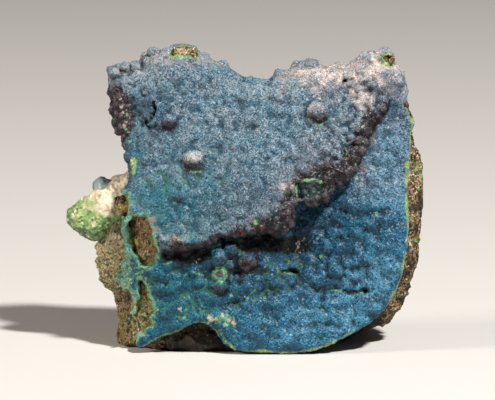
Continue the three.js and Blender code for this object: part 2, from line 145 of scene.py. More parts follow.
# ---- matrix rock -------------------------------------------------------------------------------
# A chunk of granular gossan, a weathered copper ore rock, broken all round, that carries the
# crust. It shows at the back, the sides and the foot, and in the windows of the crust.

# The rock fills the crust from behind, so the crust's shape comes first: its outline, the lip of
# its ledge, its upper plate, and its windows, where it is broken through to the rock.
CRUST_EDGE = [
    (-34.9, 75), (-33.4, 76.2), (-30.9, 76.8), (-27.6, 76.8), (-25.6, 78.5), (-23.6, 80),
    (-20.4, 80.2), (-18.4, 81.5), (-15.9, 81.8), (-13.6, 81), (-11.9, 79), (-8.4, 77.2),
    (-4.9, 75.5), (-1.4, 73.2), (2.1, 72.8), (4.9, 72), (7.1, 73.8), (10.6, 75),
    (13.1, 77), (17.6, 77), (19.6, 75.8), (24.1, 75.8), (26.1, 77.2), (29.1, 79),
    (32.6, 78.5), (34.6, 79.5), (36.6, 79.2), (36.9, 77), (39.4, 74.8), (40.1, 71.5),
    (40.1, 68), (41.6, 64.2), (41.9, 62), (40.9, 59.2), (40.9, 55), (40.4, 50),
    (40.1, 45), (40.4, 37), (39.9, 30), (38.6, 23.8), (36.9, 19), (34.1, 15),
    (30.6, 11.8), (24.4, 8.2), (17.6, 5.2), (11.1, 4.2), (4.4, 4.5), (-2.9, 5),
    (-5.9, 6.8), (-7.9, 10), (-10.4, 11.8), (-13.4, 12), (-16.9, 10), (-21.9, 8.2),
    (-26.9, 5.5), (-27.9, 6.5), (-27.6, 8.8), (-29.9, 13), (-31.6, 17.5), (-31.4, 22.5),
    (-30.4, 28.8), (-31.1, 33.8), (-31.6, 38.8), (-32.1, 43.5), (-29.9, 46.5), (-29.4, 48.5),
    (-30.1, 55), (-30.9, 58.2), (-32.6, 60), (-33.6, 65), (-34.6, 70),
]
LEDGE_LIP = [
    (-25.4, 33.8), (-23.9, 31.8), (-21.9, 30.3), (-18.1, 29.8), (-14.4, 30.3), (-11.1, 31.5),
    (-7.9, 32.9), (-4.4, 33.8), (-0.4, 34.2), (3.6, 34.4), (7.1, 34.6), (9.6, 34.8), (11, 36.2),
    (11.5, 39), (11.9, 42.3), (13.4, 42.6), (14.9, 41.6), (18.4, 41.9), (20, 44), (22, 45.8),
    (25, 47.6), (26.8, 49), (26.6, 51), (27.8, 53.8), (29.2, 56.4), (30.9, 60.3), (32.8, 63.8),
    (33.6, 66), (33, 68.5), (32, 71), (31.1, 73.5), (30.1, 76),
]
UPPER_PLATE = [*LEDGE_LIP, (30, 95), (-50, 95), (-50, 40), (-29, 36)]
WINDOWS = {
    "top": [
        (-19.1, 78.6), (-18.6, 80.3), (-17.2, 81.1), (-15.4, 81.1), (-13.6, 80.2), (-12.4, 78.5),
        (-15.1, 78.7),
    ],
    "top_right": [(34, 78.4), (35.2, 79.1), (36.4, 78.4), (36.7, 77.2), (35.9, 76.4), (34.4, 77)],
    "right_edge": [(39.1, 66.7), (42, 68.5), (45, 63.2), (40.9, 63)],
    "slot": [(-34, 43.9), (-32.2, 44.3), (-29.8, 43.6), (-29.5, 38.8), (-30.9, 38.2), (-34, 39.5)],
    "big": [
        (-29.8, 36.8), (-28.6, 38.8), (-25, 38.8), (-24.2, 36.8), (-23.6, 33.5), (-22.4, 30),
        (-22.9, 27.4), (-24.9, 25.6), (-26.9, 26.2), (-28, 28.5), (-29.5, 32),
    ],
    "triangle": [
        (-27.1, 23), (-25.9, 22.5), (-24.4, 18.5), (-22.9, 14.5), (-24.4, 13), (-27.4, 14),
        (-28.1, 15.5), (-27.1, 18.5),
    ],
    "low": [(-28.6, 14.5), (-24.6, 13.8), (-23.4, 12), (-25.4, 10.5), (-25.9, 9), (-31, 9)],
    "low_left": [(-33, 20.8), (-29.4, 20.4), (-27.9, 18), (-28.2, 16), (-28.6, 13.4), (-33, 12.4)],
}
# The rock's own outline where it is widest.
ROCK_EDGE = [
    (-29, 72.5), (-16, 75.5), (-2, 67.5), (12, 71), (32, 72.5), (36, 68),
    (39, 60), (41.4, 56.2), (43.6, 55), (45.1, 52), (46, 47.5), (45, 42.8),
    (42.2, 39.8), (41.8, 34.5), (41.2, 30), (40.8, 24), (39, 18.8), (37.2, 15),
    (35.8, 13), (33.8, 11.8), (30.4, 11), (27.5, 10), (24, 8.4), (18, 5.6), (14, 1), (12, -2),
    (-22, -2), (-27, 2), (-32.2, 4.5), (-32.6, 8.8), (-31.9, 12), (-32.6, 15.5), (-33.6, 19.8),
    (-36.1, 20.8), (-37.9, 23), (-38.6, 28), (-38.1, 31.8), (-37, 36), (-35, 41),
    (-31, 46), (-28, 52), (-29, 60), (-31, 68),
]
# Breaks that shaped the back: a direction, and the distance along it.
BREAKS = [
    (0.55, 0.25, -0.8, 52), (-0.5, 0.2, -0.84, 43), (0.1, 0.75, -0.65, 69), (-0.72, -0.1, -0.68, 43),
    (0.75, -0.25, -0.6, 45), (-0.3, -0.55, -0.78, 27), (0.3, 0.5, -0.81, 58),
]
CRUST = 1.9  # thickness of the crust over the rock
# Where the crust is thinner: u, v, radius, thickness.
THIN = [(-15.6, 81, 5.5, 0.5), (35.6, 79, 4.5, 0.5), (41.6, 65.2, 4.5, 0.5)]
# Lumps of rock in the windows of the top edge and the left one: u, v, w, radius.
ROCK_LUMPS = [
    (-17, 79.4, -15, 2.2), (-14.4, 79.4, -15, 1.9), (35.4, 77.6, -15.2, 1.4), (-31, 41.3, -9.3, 2.2),
]
# What rounding takes off the rock's sides: u, and how much there.
ROCK_SPREAD = ((-37, -0.3), (-31, 0.8), (37, 0.8), (42, 1.5))
LEDGE_UNDERCUT = 0.7  # how far the ledge draws in below for each millimetre of depth
LEDGE_DEPTH = 1.2  # how deep under its front the ledge has its drawn outline
CRUST_WRAP = 5  # how far the crust turns back round the edges
TOP_WRAP = 9  # and over the top
WIDEST = -18  # where the rock is widest
BACK = (-45, -25)  # the rock's back, at its base and at its top
BURIED = 0.5  # skin that lies this deep in another piece is left out
ROCK_CELL = 0.5  # the step of the rock's grid
CRUMB = 0.06  # how far crumbs of rock stray from the skin

# Long shallow folds of the crust: from u, v to u, v, half width and depth.
FOLDS = [
    (8, 13, 15, 11.2, 1.6, 0.7), (15, 11.2, 27, 11.4, 1.6, 0.7), (14, 20.2, 21, 20, 1.6, 0.6),
    (21, 20, 31, 19.2, 1.6, 0.9), (-28, 65, -24, 60, 2.6, 1.2), (-6, 61.5, 1, 60.5, 2.4, 0.8),
    (-24, 29.5, -17, 24.5, 2.4, 0.9), (-3, 17, 6, 20, 2.4, 1), (14, 33, 22, 36, 2.6, 0.9),
    (24, 38.5, 34, 39.5, 2.4, 0.8), (30, 52, 35, 49, 3, 0.4), (-13, 57, -7, 55, 2, 0.6),
]


def ramp(low, high, t):
    """0 at low, 1 at high, and a soft step between."""
    x = np.clip((t - low) / (high - low), 0, 1)
    return x * x * (3 - 2 * x)


def join(a, b, k):
    """The union of two fields, with a fillet of about k."""
    h = np.maximum(k - np.abs(a - b), 0) / k
    return np.minimum(a, b) - h * h * k / 4


def meet(a, b, k):
    """What two fields have in common, with a rounding of about k."""
    return -join(-a, -b, k)


def swell(u, v, x, y, radius, out):
    """A broad swelling of a face, highest at x, y."""
    return out * np.exp(-((u - x) ** 2 + (v - y) ** 2) / radius ** 2)


def path_distance(points, u, v):
    """Distance to a line through points."""
    nearest = np.inf
    for (ax, ay), (bx, by) in zip(points, points[1:]):
        ex, ey = bx - ax, by - ay
        t = np.clip(((u - ax) * ex + (v - ay) * ey) / (ex * ex + ey * ey), 0, 1)
        nearest = np.minimum(nearest, np.hypot(u - ax - ex * t, v - ay - ey * t))
    return nearest


def outline_distance(points, u, v):
    """Distance to a closed outline, negative inside it."""
    u, v = np.broadcast_arrays(np.float64(u), np.float64(v))
    inside = np.zeros(u.shape, bool)
    closed = [points[-1], *points]
    for (ax, ay), (bx, by) in zip(closed, points):
        if ay != by:
            inside ^= ((ay > v) != (by > v)) & (u < ax + (bx - ax) * (v - ay) / (by - ay))
    nearest = path_distance(closed, u, v)
    return np.where(inside, -nearest, nearest)


def window_distance(u, v, names=tuple(WINDOWS)):
    """Distance to the nearest window, negative inside it."""
    return np.min([outline_distance(WINDOWS[name], u, v) for name in names], 0)


def grain(x, y, z):
    """Smooth noise from -1 to 1, with one cell each unit."""
    x, y, z = np.broadcast_arrays(np.float64(x), np.float64(y), np.float64(z))
    i, j, k = (np.floor(a).astype(np.int64) for a in (x, y, z))
    a, b, c = (t * t * (3 - 2 * t) for t in (x - i, y - j, z - k))

    def at(di, dj, dk):
        """The random value, -1 to 1, of one corner of each cell."""
        h = (i + di) * 374761393 ^ (j + dj) * 668265263 ^ (k + dk) * 2147483647
        h = (h & 0xFFFFFFFF).astype(np.uint32)
        h = (h ^ (h >> np.uint32(13))) * np.uint32(1274126177)
        return (h ^ (h >> np.uint32(16))) / 2.0 ** 31 - 1

    def mix(p, q, t):
        """From p to q as t goes from 0 to 1."""
        return p + (q - p) * t

    near = mix(mix(at(0, 0, 0), at(1, 0, 0), a), mix(at(0, 1, 0), at(1, 1, 0), a), b)
    far = mix(mix(at(0, 0, 1), at(1, 0, 1), a), mix(at(0, 1, 1), at(1, 1, 1), a), b)
    return mix(near, far, c)


def fold_depth(u, v):
    """How deep the folds are at a place."""
    depth = 0 * (u + v)
    for ax, ay, bx, by, half, deep in FOLDS:
        far = path_distance([(ax, ay), (bx, by)], u, v)
        depth = np.maximum(depth, deep * ramp(half, 0, far))
    return depth


def lower_face(u, v):
    """How far out the lower plate's front lies, before its lumps."""
    up = np.clip((v - 4) / 26, 0, 1)
    spread = ramp(32, 12, v)
    full = ramp(13 + 11 * spread, 6 - 9 * spread, u) * ramp(46, 36, v)
    depth = 8 - 5.8 * full * (1 - 0.5 * ramp(-18, -32, u))
    return (
        -depth * (1 - (1 - up) ** 1.6) - 0.08 * np.maximum(v - 30, 0)
        - 0.012 * np.maximum(-u - 15, 0) ** 2 - 0.01 * np.maximum(u - 25, 0) ** 2
        + swell(u, v, 33, 32, 13, 2.4) + swell(u, v, 20, 27, 8, 1)
        + swell(u, v, -22, 27, 8, 2.4) + swell(u, v, 8, 15, 12, 0.8) - fold_depth(u, v)
    )


def upper_face(u, v):
    """How far out the upper plate's front lies, before its lumps."""
    return (
        0.8 - 0.27 * (v - 33)
        - 0.01 * np.maximum(-u - 18, 0) ** 2 - 0.05 * np.maximum(u - 18, 0) ** 1.5
        + swell(u, v, 8, 40, 14, 2.2) + swell(u, v, -8, 55, 12, 1.3) + swell(u, v, -20, 33, 9, 0.8)
        + swell(u, v, 16, 72, 9, 0.9) + swell(u, v, -17, 74, 8, 0.8) - fold_depth(u, v)
    )


def plates(u, v, w, inset=0.0, relief=0.0):
    """The crust's two plates as one body, drawn in on every side by an inset."""
    edge = outline_distance(CRUST_EDGE, u, v) + inset
    lip = outline_distance(UPPER_PLATE, u, v) + 1.5 * inset
    low = lower_face(u, v) - inset + relief
    high = upper_face(u, v) - inset + relief
    roll = 1.4 + 5 * ramp(62, 78, v) + 2 * ramp(-24, -33, u)
    below = meet(w - low, edge, roll)
    above = meet(w - high, lip + LEDGE_UNDERCUT * (high - w - LEDGE_DEPTH), 2 + inset)
    return join(below, meet(above, edge, roll), 1.2 + inset)


def crust_end(u, v):
    """How far back the crust goes."""
    over = ramp(60, 72, v) * ramp(41, 34, u)
    wrap = CRUST_WRAP + (TOP_WRAP - CRUST_WRAP) * over - 2 * ramp(16, 8, v)
    return lower_face(u, v) - wrap - 1.5 * grain(u / 9, v / 9, 3)


def rock_field(u, v, w):
    """The rock with its grains, negative inside it."""
    coarse = 0.9 * grain(u / 6, v / 6, w / 6) + 0.5 * grain(u / 3.1, v / 3.1, w / 3.1 + 9)
    grit = 0.7 * grain(u / 1.7, v / 1.7, w / 1.7 + 4) + 0.3 * grain(u / 0.95, v / 0.95, w / 0.95)
    back = BACK[0] + (BACK[1] - BACK[0]) * np.clip(v / 76, 0, 1) + 3 * grain(u / 17, v / 17, 0.5)
    narrowing = 0.62 * np.maximum(w - WIDEST, 0)
    narrowing = narrowing + 0.4 * ramp(2, 24, v) * np.maximum(WIDEST - 6 - w, 0)
    spread = np.interp(u, *zip(*ROCK_SPREAD))
    chunk = meet(outline_distance(ROCK_EDGE, u, v) - spread + narrowing, back - w, 5)
    for x, y, z, far in BREAKS:
        chunk = meet(chunk, u * x + v * y + w * z - far, 1.5)
    chunk = np.maximum(chunk + coarse, w - crust_end(u, v))
    thick = CRUST + 0 * (u + v)
    for x, y, radius, thin in THIN:
        there = ramp(radius, 0.6 * radius, np.hypot(u - x, v - y))
        thick = np.minimum(thick, CRUST - (CRUST - thin) * there)
    under_crust = np.maximum(plates(u, v, w, thick), back + 4 - w)
    for x, y, z, radius in ROCK_LUMPS:
        far = np.sqrt((u - x) ** 2 + (v - y) ** 2 + (w - z) ** 2) - radius
        under_crust = join(under_crust, far, 1)
    return np.maximum(join(under_crust, chunk, 1) + grit, ORIGIN[2] - height(v, w))


def spaced(low, high, step):
    """Evenly spaced numbers from low to high."""
    return np.arange(low, high + step / 2, step)


def skin(field, axes):
    """The closed skin of a field over a grid, as points and four-sided faces. Each cell that the
    surface passes through has one point, at the mean of the places where it cuts the edges."""
    field = field.astype(np.float32)
    for axis in range(3):
        side = np.moveaxis(field, axis, 0)
        side[0] = side[-1] = 1
    field[field == 0] = 1e-6
    # A face of the grid whose opposite corners agree would pinch the skin, so it is filled in.
    found = 1
    while found:
        inside = field < 0
        found = 0
        for p, q in ((0, 1), (1, 2), (0, 2)):
            corner = []
            for i, j in ((0, 0), (1, 0), (1, 1), (0, 1)):
                part = [slice(None)] * 3
                part[p] = slice(1, None) if i else slice(None, -1)
                part[q] = slice(1, None) if j else slice(None, -1)
                corner.append(tuple(part))
            a, b, c, d = (inside[part] for part in corner)
            pinched = (a == c) & (b == d) & (a != b)
            found += int(pinched.sum())
            field[corner[1]][pinched & a] = -1e-3
            field[corner[0]][pinched & ~a] = -1e-3
    inside = field < 0
    corners = [(i, j, k) for k in (0, 1) for j in (0, 1) for i in (0, 1)]
    count = sum(
        inside[tuple(slice(1, None) if o else slice(None, -1) for o in c)].astype(np.int8)
        for c in corners
    )
    cells = np.argwhere((count > 0) & (count < 8))
    ids = np.full(count.shape, -1, np.int32)
    ids[tuple(cells.T)] = np.arange(len(cells))
    values = [field[tuple((cells + c).T)] for c in corners]
    places = [np.stack([axes[n][cells[:, n] + c[n]] for n in range(3)], 1) for c in corners]
    total, cuts = np.zeros((len(cells), 3)), np.zeros(len(cells))
    for p, q in ((0, 1), (2, 3), (4, 5), (6, 7), (0, 2), (1, 3), (4, 6), (5, 7),
                 (0, 4), (1, 5), (2, 6), (3, 7)):
        cut = (values[p] < 0) != (values[q] < 0)
        t = values[p][cut] / (values[p][cut] - values[q][cut])
        total[cut] += places[p][cut] + (places[q][cut] - places[p][cut]) * t[:, None]
        cuts[cut] += 1
    faces = []
    for axis in range(3):
        low, high = [slice(None)] * 3, [slice(None)] * 3
        low[axis], high[axis] = slice(None, -1), slice(1, None)
        edges = np.argwhere(inside[tuple(low)] != inside[tuple(high)])
        solid = inside[tuple(edges.T)]
        p, q = np.eye(3, dtype=int)[(axis + 1) % 3], np.eye(3, dtype=int)[(axis + 2) % 3]
        ring = [ids[tuple((edges - i * p - j * q).T)] for i, j in ((1, 1), (0, 1), (0, 0), (1, 0))]
        ring = np.stack(ring, 1)
        ring[~solid] = ring[~solid][:, ::-1]
        faces.append(ring)
    return total / cuts[:, None], np.concatenate(faces)


def without(points, faces, hidden):
    """Leaves out the faces whose corners are all hidden, and the points that no face then uses."""
    faces = faces[~hidden[faces].all(axis=1)]
    used = np.zeros(len(points), bool)
    used[faces] = True
    return points[used], (np.cumsum(used) - 1)[faces]


def triangles(faces):
    """Each four-sided face as two triangles, split one way or the other at random."""
    turn = chance.random(len(faces))[:, None] < 0.5
    a, b, c, d = faces.T
    one = np.where(turn, np.stack([a, b, c], 1), np.stack([b, c, d], 1))
    two = np.where(turn, np.stack([a, c, d], 1), np.stack([b, d, a], 1))
    return np.concatenate([one, two])


def unit(vectors):
    """The vectors, each made 1 long."""
    return vectors / np.maximum(np.linalg.norm(vectors, axis=1), 1e-9)[:, None]


def slope(field_at, points):
    """The outward direction of a field at points, from its change over 0.8 mm each way."""
    steps = np.eye(3) * 0.8
    return unit(np.stack([field_at(*(points + s).T) - field_at(*(points - s).T) for s in steps], 1))


def pit_share(field_at, points, normals, reach):
    """How much of the space just outside each point is solid: 0 on a peak, 1 deep in a pit."""
    share = 0
    for far in (0.5 * reach, reach):
        share = share + ramp(0.6 * far, -0.6 * far, field_at(*(points + normals * far).T))
    return share / 2


PRESS = 0.6  # what comes this near to a side of the specimen's box is pressed in
LEAST = 0.03  # and stays this far inside it


def drawn_in(places):
    """Places in metres, pressed into the specimen's box. At the floor they are cut off level."""
    low, high = (np.array(corner) for corner in cad_box)
    for side, way in ((low, 1), (high, -1)):
        depth = (places - side) * way * MM
        pressed = np.exp((np.minimum(depth, PRESS) - PRESS) / (PRESS - LEAST))
        pressed = np.where(depth < PRESS, LEAST + (PRESS - LEAST) * pressed, depth)
        if way == 1:
            pressed[:, 2] = np.maximum(depth[:, 2], 0)
        places = side + way * pressed / MM
    return places


def piece(name, points, faces, normals, **numbers):
    """A mesh object with a number for each point under each name, and a texture map of six
    square-on views laid out beside each other."""
    mesh = bpy.data.meshes.new(name)
    mesh.vertices.add(len(points))
    mesh.vertices.foreach_set("co", drawn_in(to_row(points)).astype(np.float32).ravel())
    mesh.loops.add(faces.size)
    mesh.loops.foreach_set("vertex_index", faces.astype(np.int32).ravel())
    mesh.polygons.add(len(faces))
    mesh.polygons.foreach_set("loop_start", np.arange(0, faces.size, 3, dtype=np.int32))
    mesh.update(calc_edges=True)
    for key, values in numbers.items():
        made = mesh.attributes.new(key, "FLOAT", "POINT")
        made.data.foreach_set("value", np.asarray(values, np.float32))
    wide, high, deep = points.max(0) - points.min(0)
    at = points - points.min(0)
    mean = normals[faces].sum(1)
    axis = np.abs(mean).argmax(1)
    back = np.take_along_axis(mean, axis[:, None], 1)[:, 0] < 0
    u, v, w = (at[faces][..., n] for n in range(3))
    across = np.where((axis == 0)[:, None], w, u)
    along = np.where((axis == 1)[:, None], w, v)
    shift_u = np.select([axis == 0, axis == 1], [wide + back * deep, wide + 0 * back], 0)
    shift_v = np.select([axis == 0, axis == 1], [0 * back, high + back * deep], back * high)
    size = max(2 * wide, wide + 2 * deep, 2 * high, high + 2 * deep)
    layer = mesh.uv_layers.new(name="OFBake")
    places = np.stack([across + shift_u[:, None], along + shift_v[:, None]], 2) / size
    layer.data.foreach_set("uv", places.astype(np.float32).ravel())
    ob = bpy.data.objects.new(name, mesh)
    bpy.context.collection.objects.link(ob)
    return ob


chance = np.random.default_rng(7)
rock_reach = (-41, 47), (-6, 83), (-52, 1)
rock_axes = [spaced(*ends, ROCK_CELL) for ends in rock_reach]
rock_points, rock_faces = skin(rock_field(*np.ix_(*rock_axes)), rock_axes)

# The skin's part that lies deep under the crust is left out.
u, v, w = rock_points.T
covered = (plates(u, v, w) < -1.2) & (w > crust_end(u, v) - 1) & (window_distance(u, v) > 1.5)
rock_points, rock_faces = without(rock_points, rock_faces, covered)
u, v, w = rock_points.T
rock_normals = slope(rock_field, rock_points)
above_floor = ramp(0.1, 0.6, height(v, w) - ORIGIN[2])
rock_points = rock_points + chance.normal(0, CRUMB, rock_points.shape) * above_floor[:, None]


def tint(*spots):
    """A number for each of the rock's points, from spots of u, v, radius and share: the share
    at a spot's middle, and 0 past its radius."""
    total = 0 * u
    for x, y, radius, share in spots:
        total = np.maximum(total, share * ramp(radius, 0.4 * radius, np.hypot(u - x, v - y)))
    return total


green = tint(
    (-35, 30, 14, 1), (42.6, 49.6, 4, 0.5), (41.6, 31, 3, 0.4), (-27, 10, 5, 0.5), (-25, 17, 5, 0.9),
    (-26, 28, 3.5, 0.4),
)
pale = tint(
    (-33.4, 33.6, 4, 1), (-37, 31, 3, 0.4), (-16, 80.6, 3, 0.7), (41.2, 31, 1.8, 0.9),
    (42.4, 49, 3, 0.5),
)
olive = tint(
    (-30, 10, 9, 0.8), (-28.2, 31.8, 2, 1), (-26, 31.2, 2.4, 0.6), (-26, 27.4, 2.6, 0.8),
    (-16, 80, 5, 0.8), (-32, 40.5, 4, 0.8), (40, 64, 4, 0.9), (-30, 49, 4, 0.9),
)
# The foot and its notch, and spots in the slot and a low window, get painted shade, almost black.
soot = ramp(10.2, 8, v - 0.55 * np.maximum(u - 22, 0)) * ramp(-24, -18, u) * ramp(36, 31, u)
soot = np.maximum(soot, tint((-11, 8, 7, 0.8), (-31, 43.6, 1.4, 0.7), (-29.6, 18.5, 2, 0.5)))
# The right side is tan and full of dark holes.
holed = ramp(0, 0.26, grain(u / 1.5, v / 1.5, w / 1.5 + 3)) * ramp(36, 39, u)
soot = np.maximum(soot, 0.9 * holed * (0.6 + 0.4 * ramp(48, 44, v)))
# Painted shade in the rock's pits, from how solid the space just outside each point is.
pit = pit_share(rock_field, rock_points, rock_normals, 0.7)
patchy = 0.5 + 0.5 * grain(u / 4, v / 4, w / 4)
gossan_rock = piece(
    "gossan_rock", rock_points, triangles(rock_faces), rock_normals,
    soot=soot, pale=pale, olive=olive, green=green * (0.6 + 0.4 * patchy),
    holes=1 - 0.3 * green, pit=pit * (1 - 0.35 * green),
    ochre=tint((-27.8, 31.4, 2, 0.9), (-25.4, 30, 1.4, 0.7), (-30.9, 40.6, 1.8, 0.9)),
    rose=tint((-26, 35, 5, 1), (-15, 79.5, 2.5, 0.7), (35.5, 78, 3, 0.5), (-25, 29, 3, 0.6)),
    tan=tint((43, 49, 9, 1), (43, 38, 6, 0.6), (42, 31, 6, 0.8), (38, 18, 5, 0.8)),
)


def node(tree, kind, settings=None, **inputs):
    """Adds a node with its settings. An input is called by its name, or i and its number, and
    takes a value, a hex colour or another node's output."""
    made = tree.nodes.new(kind)
    for key, value in (settings or {}).items():
        setattr(made, key, value)
    for key, value in inputs.items():
        socket = made.inputs[int(key[1:]) if key[1:].isdigit() else key]
        if isinstance(value, bpy.types.NodeSocket):
            tree.links.new(socket, value)
        else:
            socket.default_value = linear(value) if isinstance(value, str) else value
    return made


def pattern(tree, kind, per_mm, output="Fac", **inputs):
    """A pattern that is fixed to the piece, with that many cells to a millimetre."""
    where = node(tree, "ShaderNodeTexCoord").outputs["Object"]
    made = node(tree, f"ShaderNodeTex{kind}", Vector=where, Scale=per_mm * MM, **inputs)
    return made.outputs[output]


def grains(tree, per_mm):
    """Two random numbers for each grain, with that many grains to a millimetre."""
    colour = pattern(tree, "Voronoi", per_mm, "Color")
    return node(tree, "ShaderNodeSeparateColor", Color=colour).outputs[:2]


def reading(tree, part):
    """A part of a share as a node's output: one of the mesh's own numbers, by its name, or a soft
    step (part, low, high, top), which is 0 at low and 1 or top at high."""
    if isinstance(part, str):
        return node(tree, "ShaderNodeAttribute", {"attribute_name": part}).outputs["Fac"]
    if isinstance(part, tuple):
        source, low, high, *top = part
        step = {"i0": reading(tree, source), "i1": low, "i2": high, "i4": top[0] if top else 1.0}
        return node(tree, "ShaderNodeMapRange", {"interpolation_type": "SMOOTHSTEP"}, **step).outputs[0]
    return part


def layers(tree, colour, *coats):
    """Lays coats of colour over a first one. Each coat is a colour and the parts that its share
    is the product of. A colour is a hex code or an output, and a part is also a plain number."""
    for over, *parts in coats:
        share, *others = (reading(tree, part) for part in parts)
        for other in others:
            times = node(tree, "ShaderNodeMath", {"operation": "MULTIPLY"}, i0=share, i1=other)
            share = times.outputs[0]
        mix = node(tree, "ShaderNodeMix", {"data_type": "RGBA"}, i0=share, i6=colour, i7=over)
        colour = mix.outputs[2]
    return colour


# Gossan: grains of quartz and clay bound by brown iron ore, rough and dull, in tan and dark brown
# with pinkish white grains, stained green by copper and olive by arsenates near the crust.
gossan, tree, shader = material("brown_gossan", 0.75, 1.54)
shader.inputs["Specular IOR Level"].default_value = 0.3
one, two = grains(tree, 1.5)  # quartz grains of 0.7 mm
fine, fleck = grains(tree, 3.2)  # clay and ore grains of 0.3 mm
colour = layers(
    tree, "3a2919",
    ("66502f", (pattern(tree, "Noise", 0.35), 0.35, 0.65)),
    ("7d5c38", "tan", 0.8),
    ("857a3a", "olive", 0.8),
    ("a2956a", "green", 0.9),
    ("7ba468", (pattern(tree, "Noise", 1.1), 0.5, 0.62), "green"),
    ("d6ca9c", (fleck, 0.7, 0.76), "green"),
    ("dccfa8", "pale", 0.8),
    ("8a6448", "rose", 0.6),
    ("a8822e", "ochre", 0.8),
    ("2a1d13", (fine, 0.32, 0.26, 0.7), "holes"),
    ("b5a078", (fine, 0.7, 0.76, 0.3)),
    ("170f09", (one, 0.27, 0.23, 0.85), "holes"),
    ("20150c", (fine, 0.38, 0.3, 0.8), "tan"),
    ("dcc4a0", (fleck, 0.84, 0.88, 0.8), "tan"),
    ("a88a78", (two, 0.88, 0.91, 0.55)),
    ("5c9a4a", (one, 0.93, 0.95, 0.9), "tan"),
    ("e4d8cc", (fleck, 0.97, 0.985)),
    # Painted shade at the foot and notch, almost black, with the right side's dark holes.
    ("120d09", "soot", 0.92),
    # Painted shade: the pits are darkened almost to black.
    ("0c0806", ("pit", 0.5, 0.85, 0.95)),
)
grit = pattern(tree, "Noise", 3.0, Detail=4.0)
bump = node(tree, "ShaderNodeBump", Strength=0.7, Distance=0.0003, Height=grit)
tree.links.new(shader.inputs["Base Color"], colour)
tree.links.new(shader.inputs["Normal"], bump.outputs[0])
gossan_rock.data.materials.append(gossan)
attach(gossan_rock, "root")
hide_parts("matrix")

# ---- cornetite crust ---------------------------------------------------------------------------
# A crust of cornetite, a blue copper phosphate, that grew over the rock as closely packed round
# lumps. Its upper plate overhangs the lower one in a dark ledge, and it is broken through to the
# rock in windows, where the green seam under it shows.

# Round lumps of the face: u, v, radius, and how far each stands out.
FACE_LUMPS = [
    (17.6, 64.3, 2.9, 2.1), (-13.6, 52.2, 2.8, 1.7), (-19.6, 62.2, 1.9, 1.7),
    (-17.8, 64, 1.6, 1.1), (-20.1, 65.4, 0.8, 0.6), (-27.4, 59.3, 1.3, 0.8),
    (-11.1, 71.8, 0.9, 0.7), (-0.4, 70, 0.9, 0.5), (-0.9, 68.2, 1.2, 0.9), (-3.6, 65.5, 1.3, 0.5),
    (-8.6, 61.5, 1.4, 0.6), (-7.1, 65.8, 0.8, 0.4), (-9.4, 56, 2.4, 0.7), (-31.6, 74.8, 1, 0.9),
    (-25.1, 77.4, 1, 0.6), (-23.6, 77.4, 1.2, 0.8), (-14.6, 78, 1, 0.6), (24.6, 74.5, 0.8, 0.5),
    (8.1, 67.8, 1.1, 0.9), (9.9, 68.8, 0.7, 0.5), (13.1, 71.3, 1.3, 0.5), (4.4, 70.8, 1.2, 0.4),
    (4.4, 64.5, 0.8, 0.4), (9.4, 64.3, 1.4, 0.4), (3.9, 59.5, 1.3, 0.6), (6.9, 58.5, 1, 0.4),
    (38.1, 71.8, 1, 0.8), (34.9, 74.5, 0.8, 0.5), (39.1, 55.8, 0.8, 0.4), (36.6, 55.3, 0.8, 0.4),
    (33.9, 60.5, 1, 0.4), (30.1, 72.5, 1.2, 1.1), (31.1, 71.2, 1.3, 1.3), (31.9, 69.9, 1.1, 1.1),
    (33.7, 67.4, 1.6, 1.5), (33.4, 65.5, 1.4, 1.4), (28.1, 63.6, 1.3, 1), (27.6, 61.4, 1.4, 1.2),
    (24.4, 68.3, 0.9, 0.6), (25.6, 66.9, 0.9, 0.6), (23.2, 69.2, 0.8, 0.5),
    (-17.6, 46.6, 1.4, 0.8), (-19.1, 44.7, 1.3, 0.9), (-17.1, 43.5, 1.4, 1), (-15.6, 45, 1.3, 0.8),
    (-22.6, 40.8, 0.9, 0.7), (-7.6, 31.8, 1.4, 1.4), (-7.4, 28, 2.4, 2), (-3.9, 30, 2.1, 1.7),
    (-9.9, 27, 1.6, 1.3), (0.1, 27, 2.2, 2.1), (4.4, 26, 1, 0.9), (-4.6, 26.2, 1.3, 0.9),
    (-7.1, 23.8, 1.9, 1.4), (-6.9, 20.8, 2, 1.5), (-11.9, 21.8, 1.6, 0.8), (-16.9, 24.3, 1.1, 0.5),
    (21.9, 24.6, 2, 1.4), (16.9, 22.2, 2.2, 1.2), (10.6, 22, 1.4, 0.9), (6.4, 21.9, 1.6, 1),
    (2.4, 22.5, 1.4, 0.8), (-0.1, 21.3, 1.1, 0.7), (-2.4, 23.2, 1.3, 0.8), (23.1, 34.3, 1, 0.8),
    (26.9, 30, 1.9, 0.5), (34.4, 33, 1.5, 0.5), (-16.6, 14.3, 1.2, 0.8), (17.9, 9.3, 1.1, 0.6),
    (1.9, 9.4, 1.6, 0.8), (-0.6, 10.8, 1.1, 0.6), (4.9, 18.4, 2, 0.7), (-5, 16.5, 1.8, 0.5),
    (8, 16.5, 1.6, 0.5), (12, 12.5, 1.5, 0.4), (-12, 17.5, 1.8, 0.5), (-18, 19, 1.7, 0.5),
    (-21, 16.5, 1.4, 0.5), (-20.5, 23, 1.5, 0.6), (-23.4, 21, 1.3, 0.5), (28.4, 25, 1.7, 0.5),
    (13.4, 27.5, 1.5, 0.5), (19.5, 30.4, 1.8, 0.5), (31.4, 37.5, 1.6, 0.5), (35.5, 28.4, 1.5, 0.4),
]
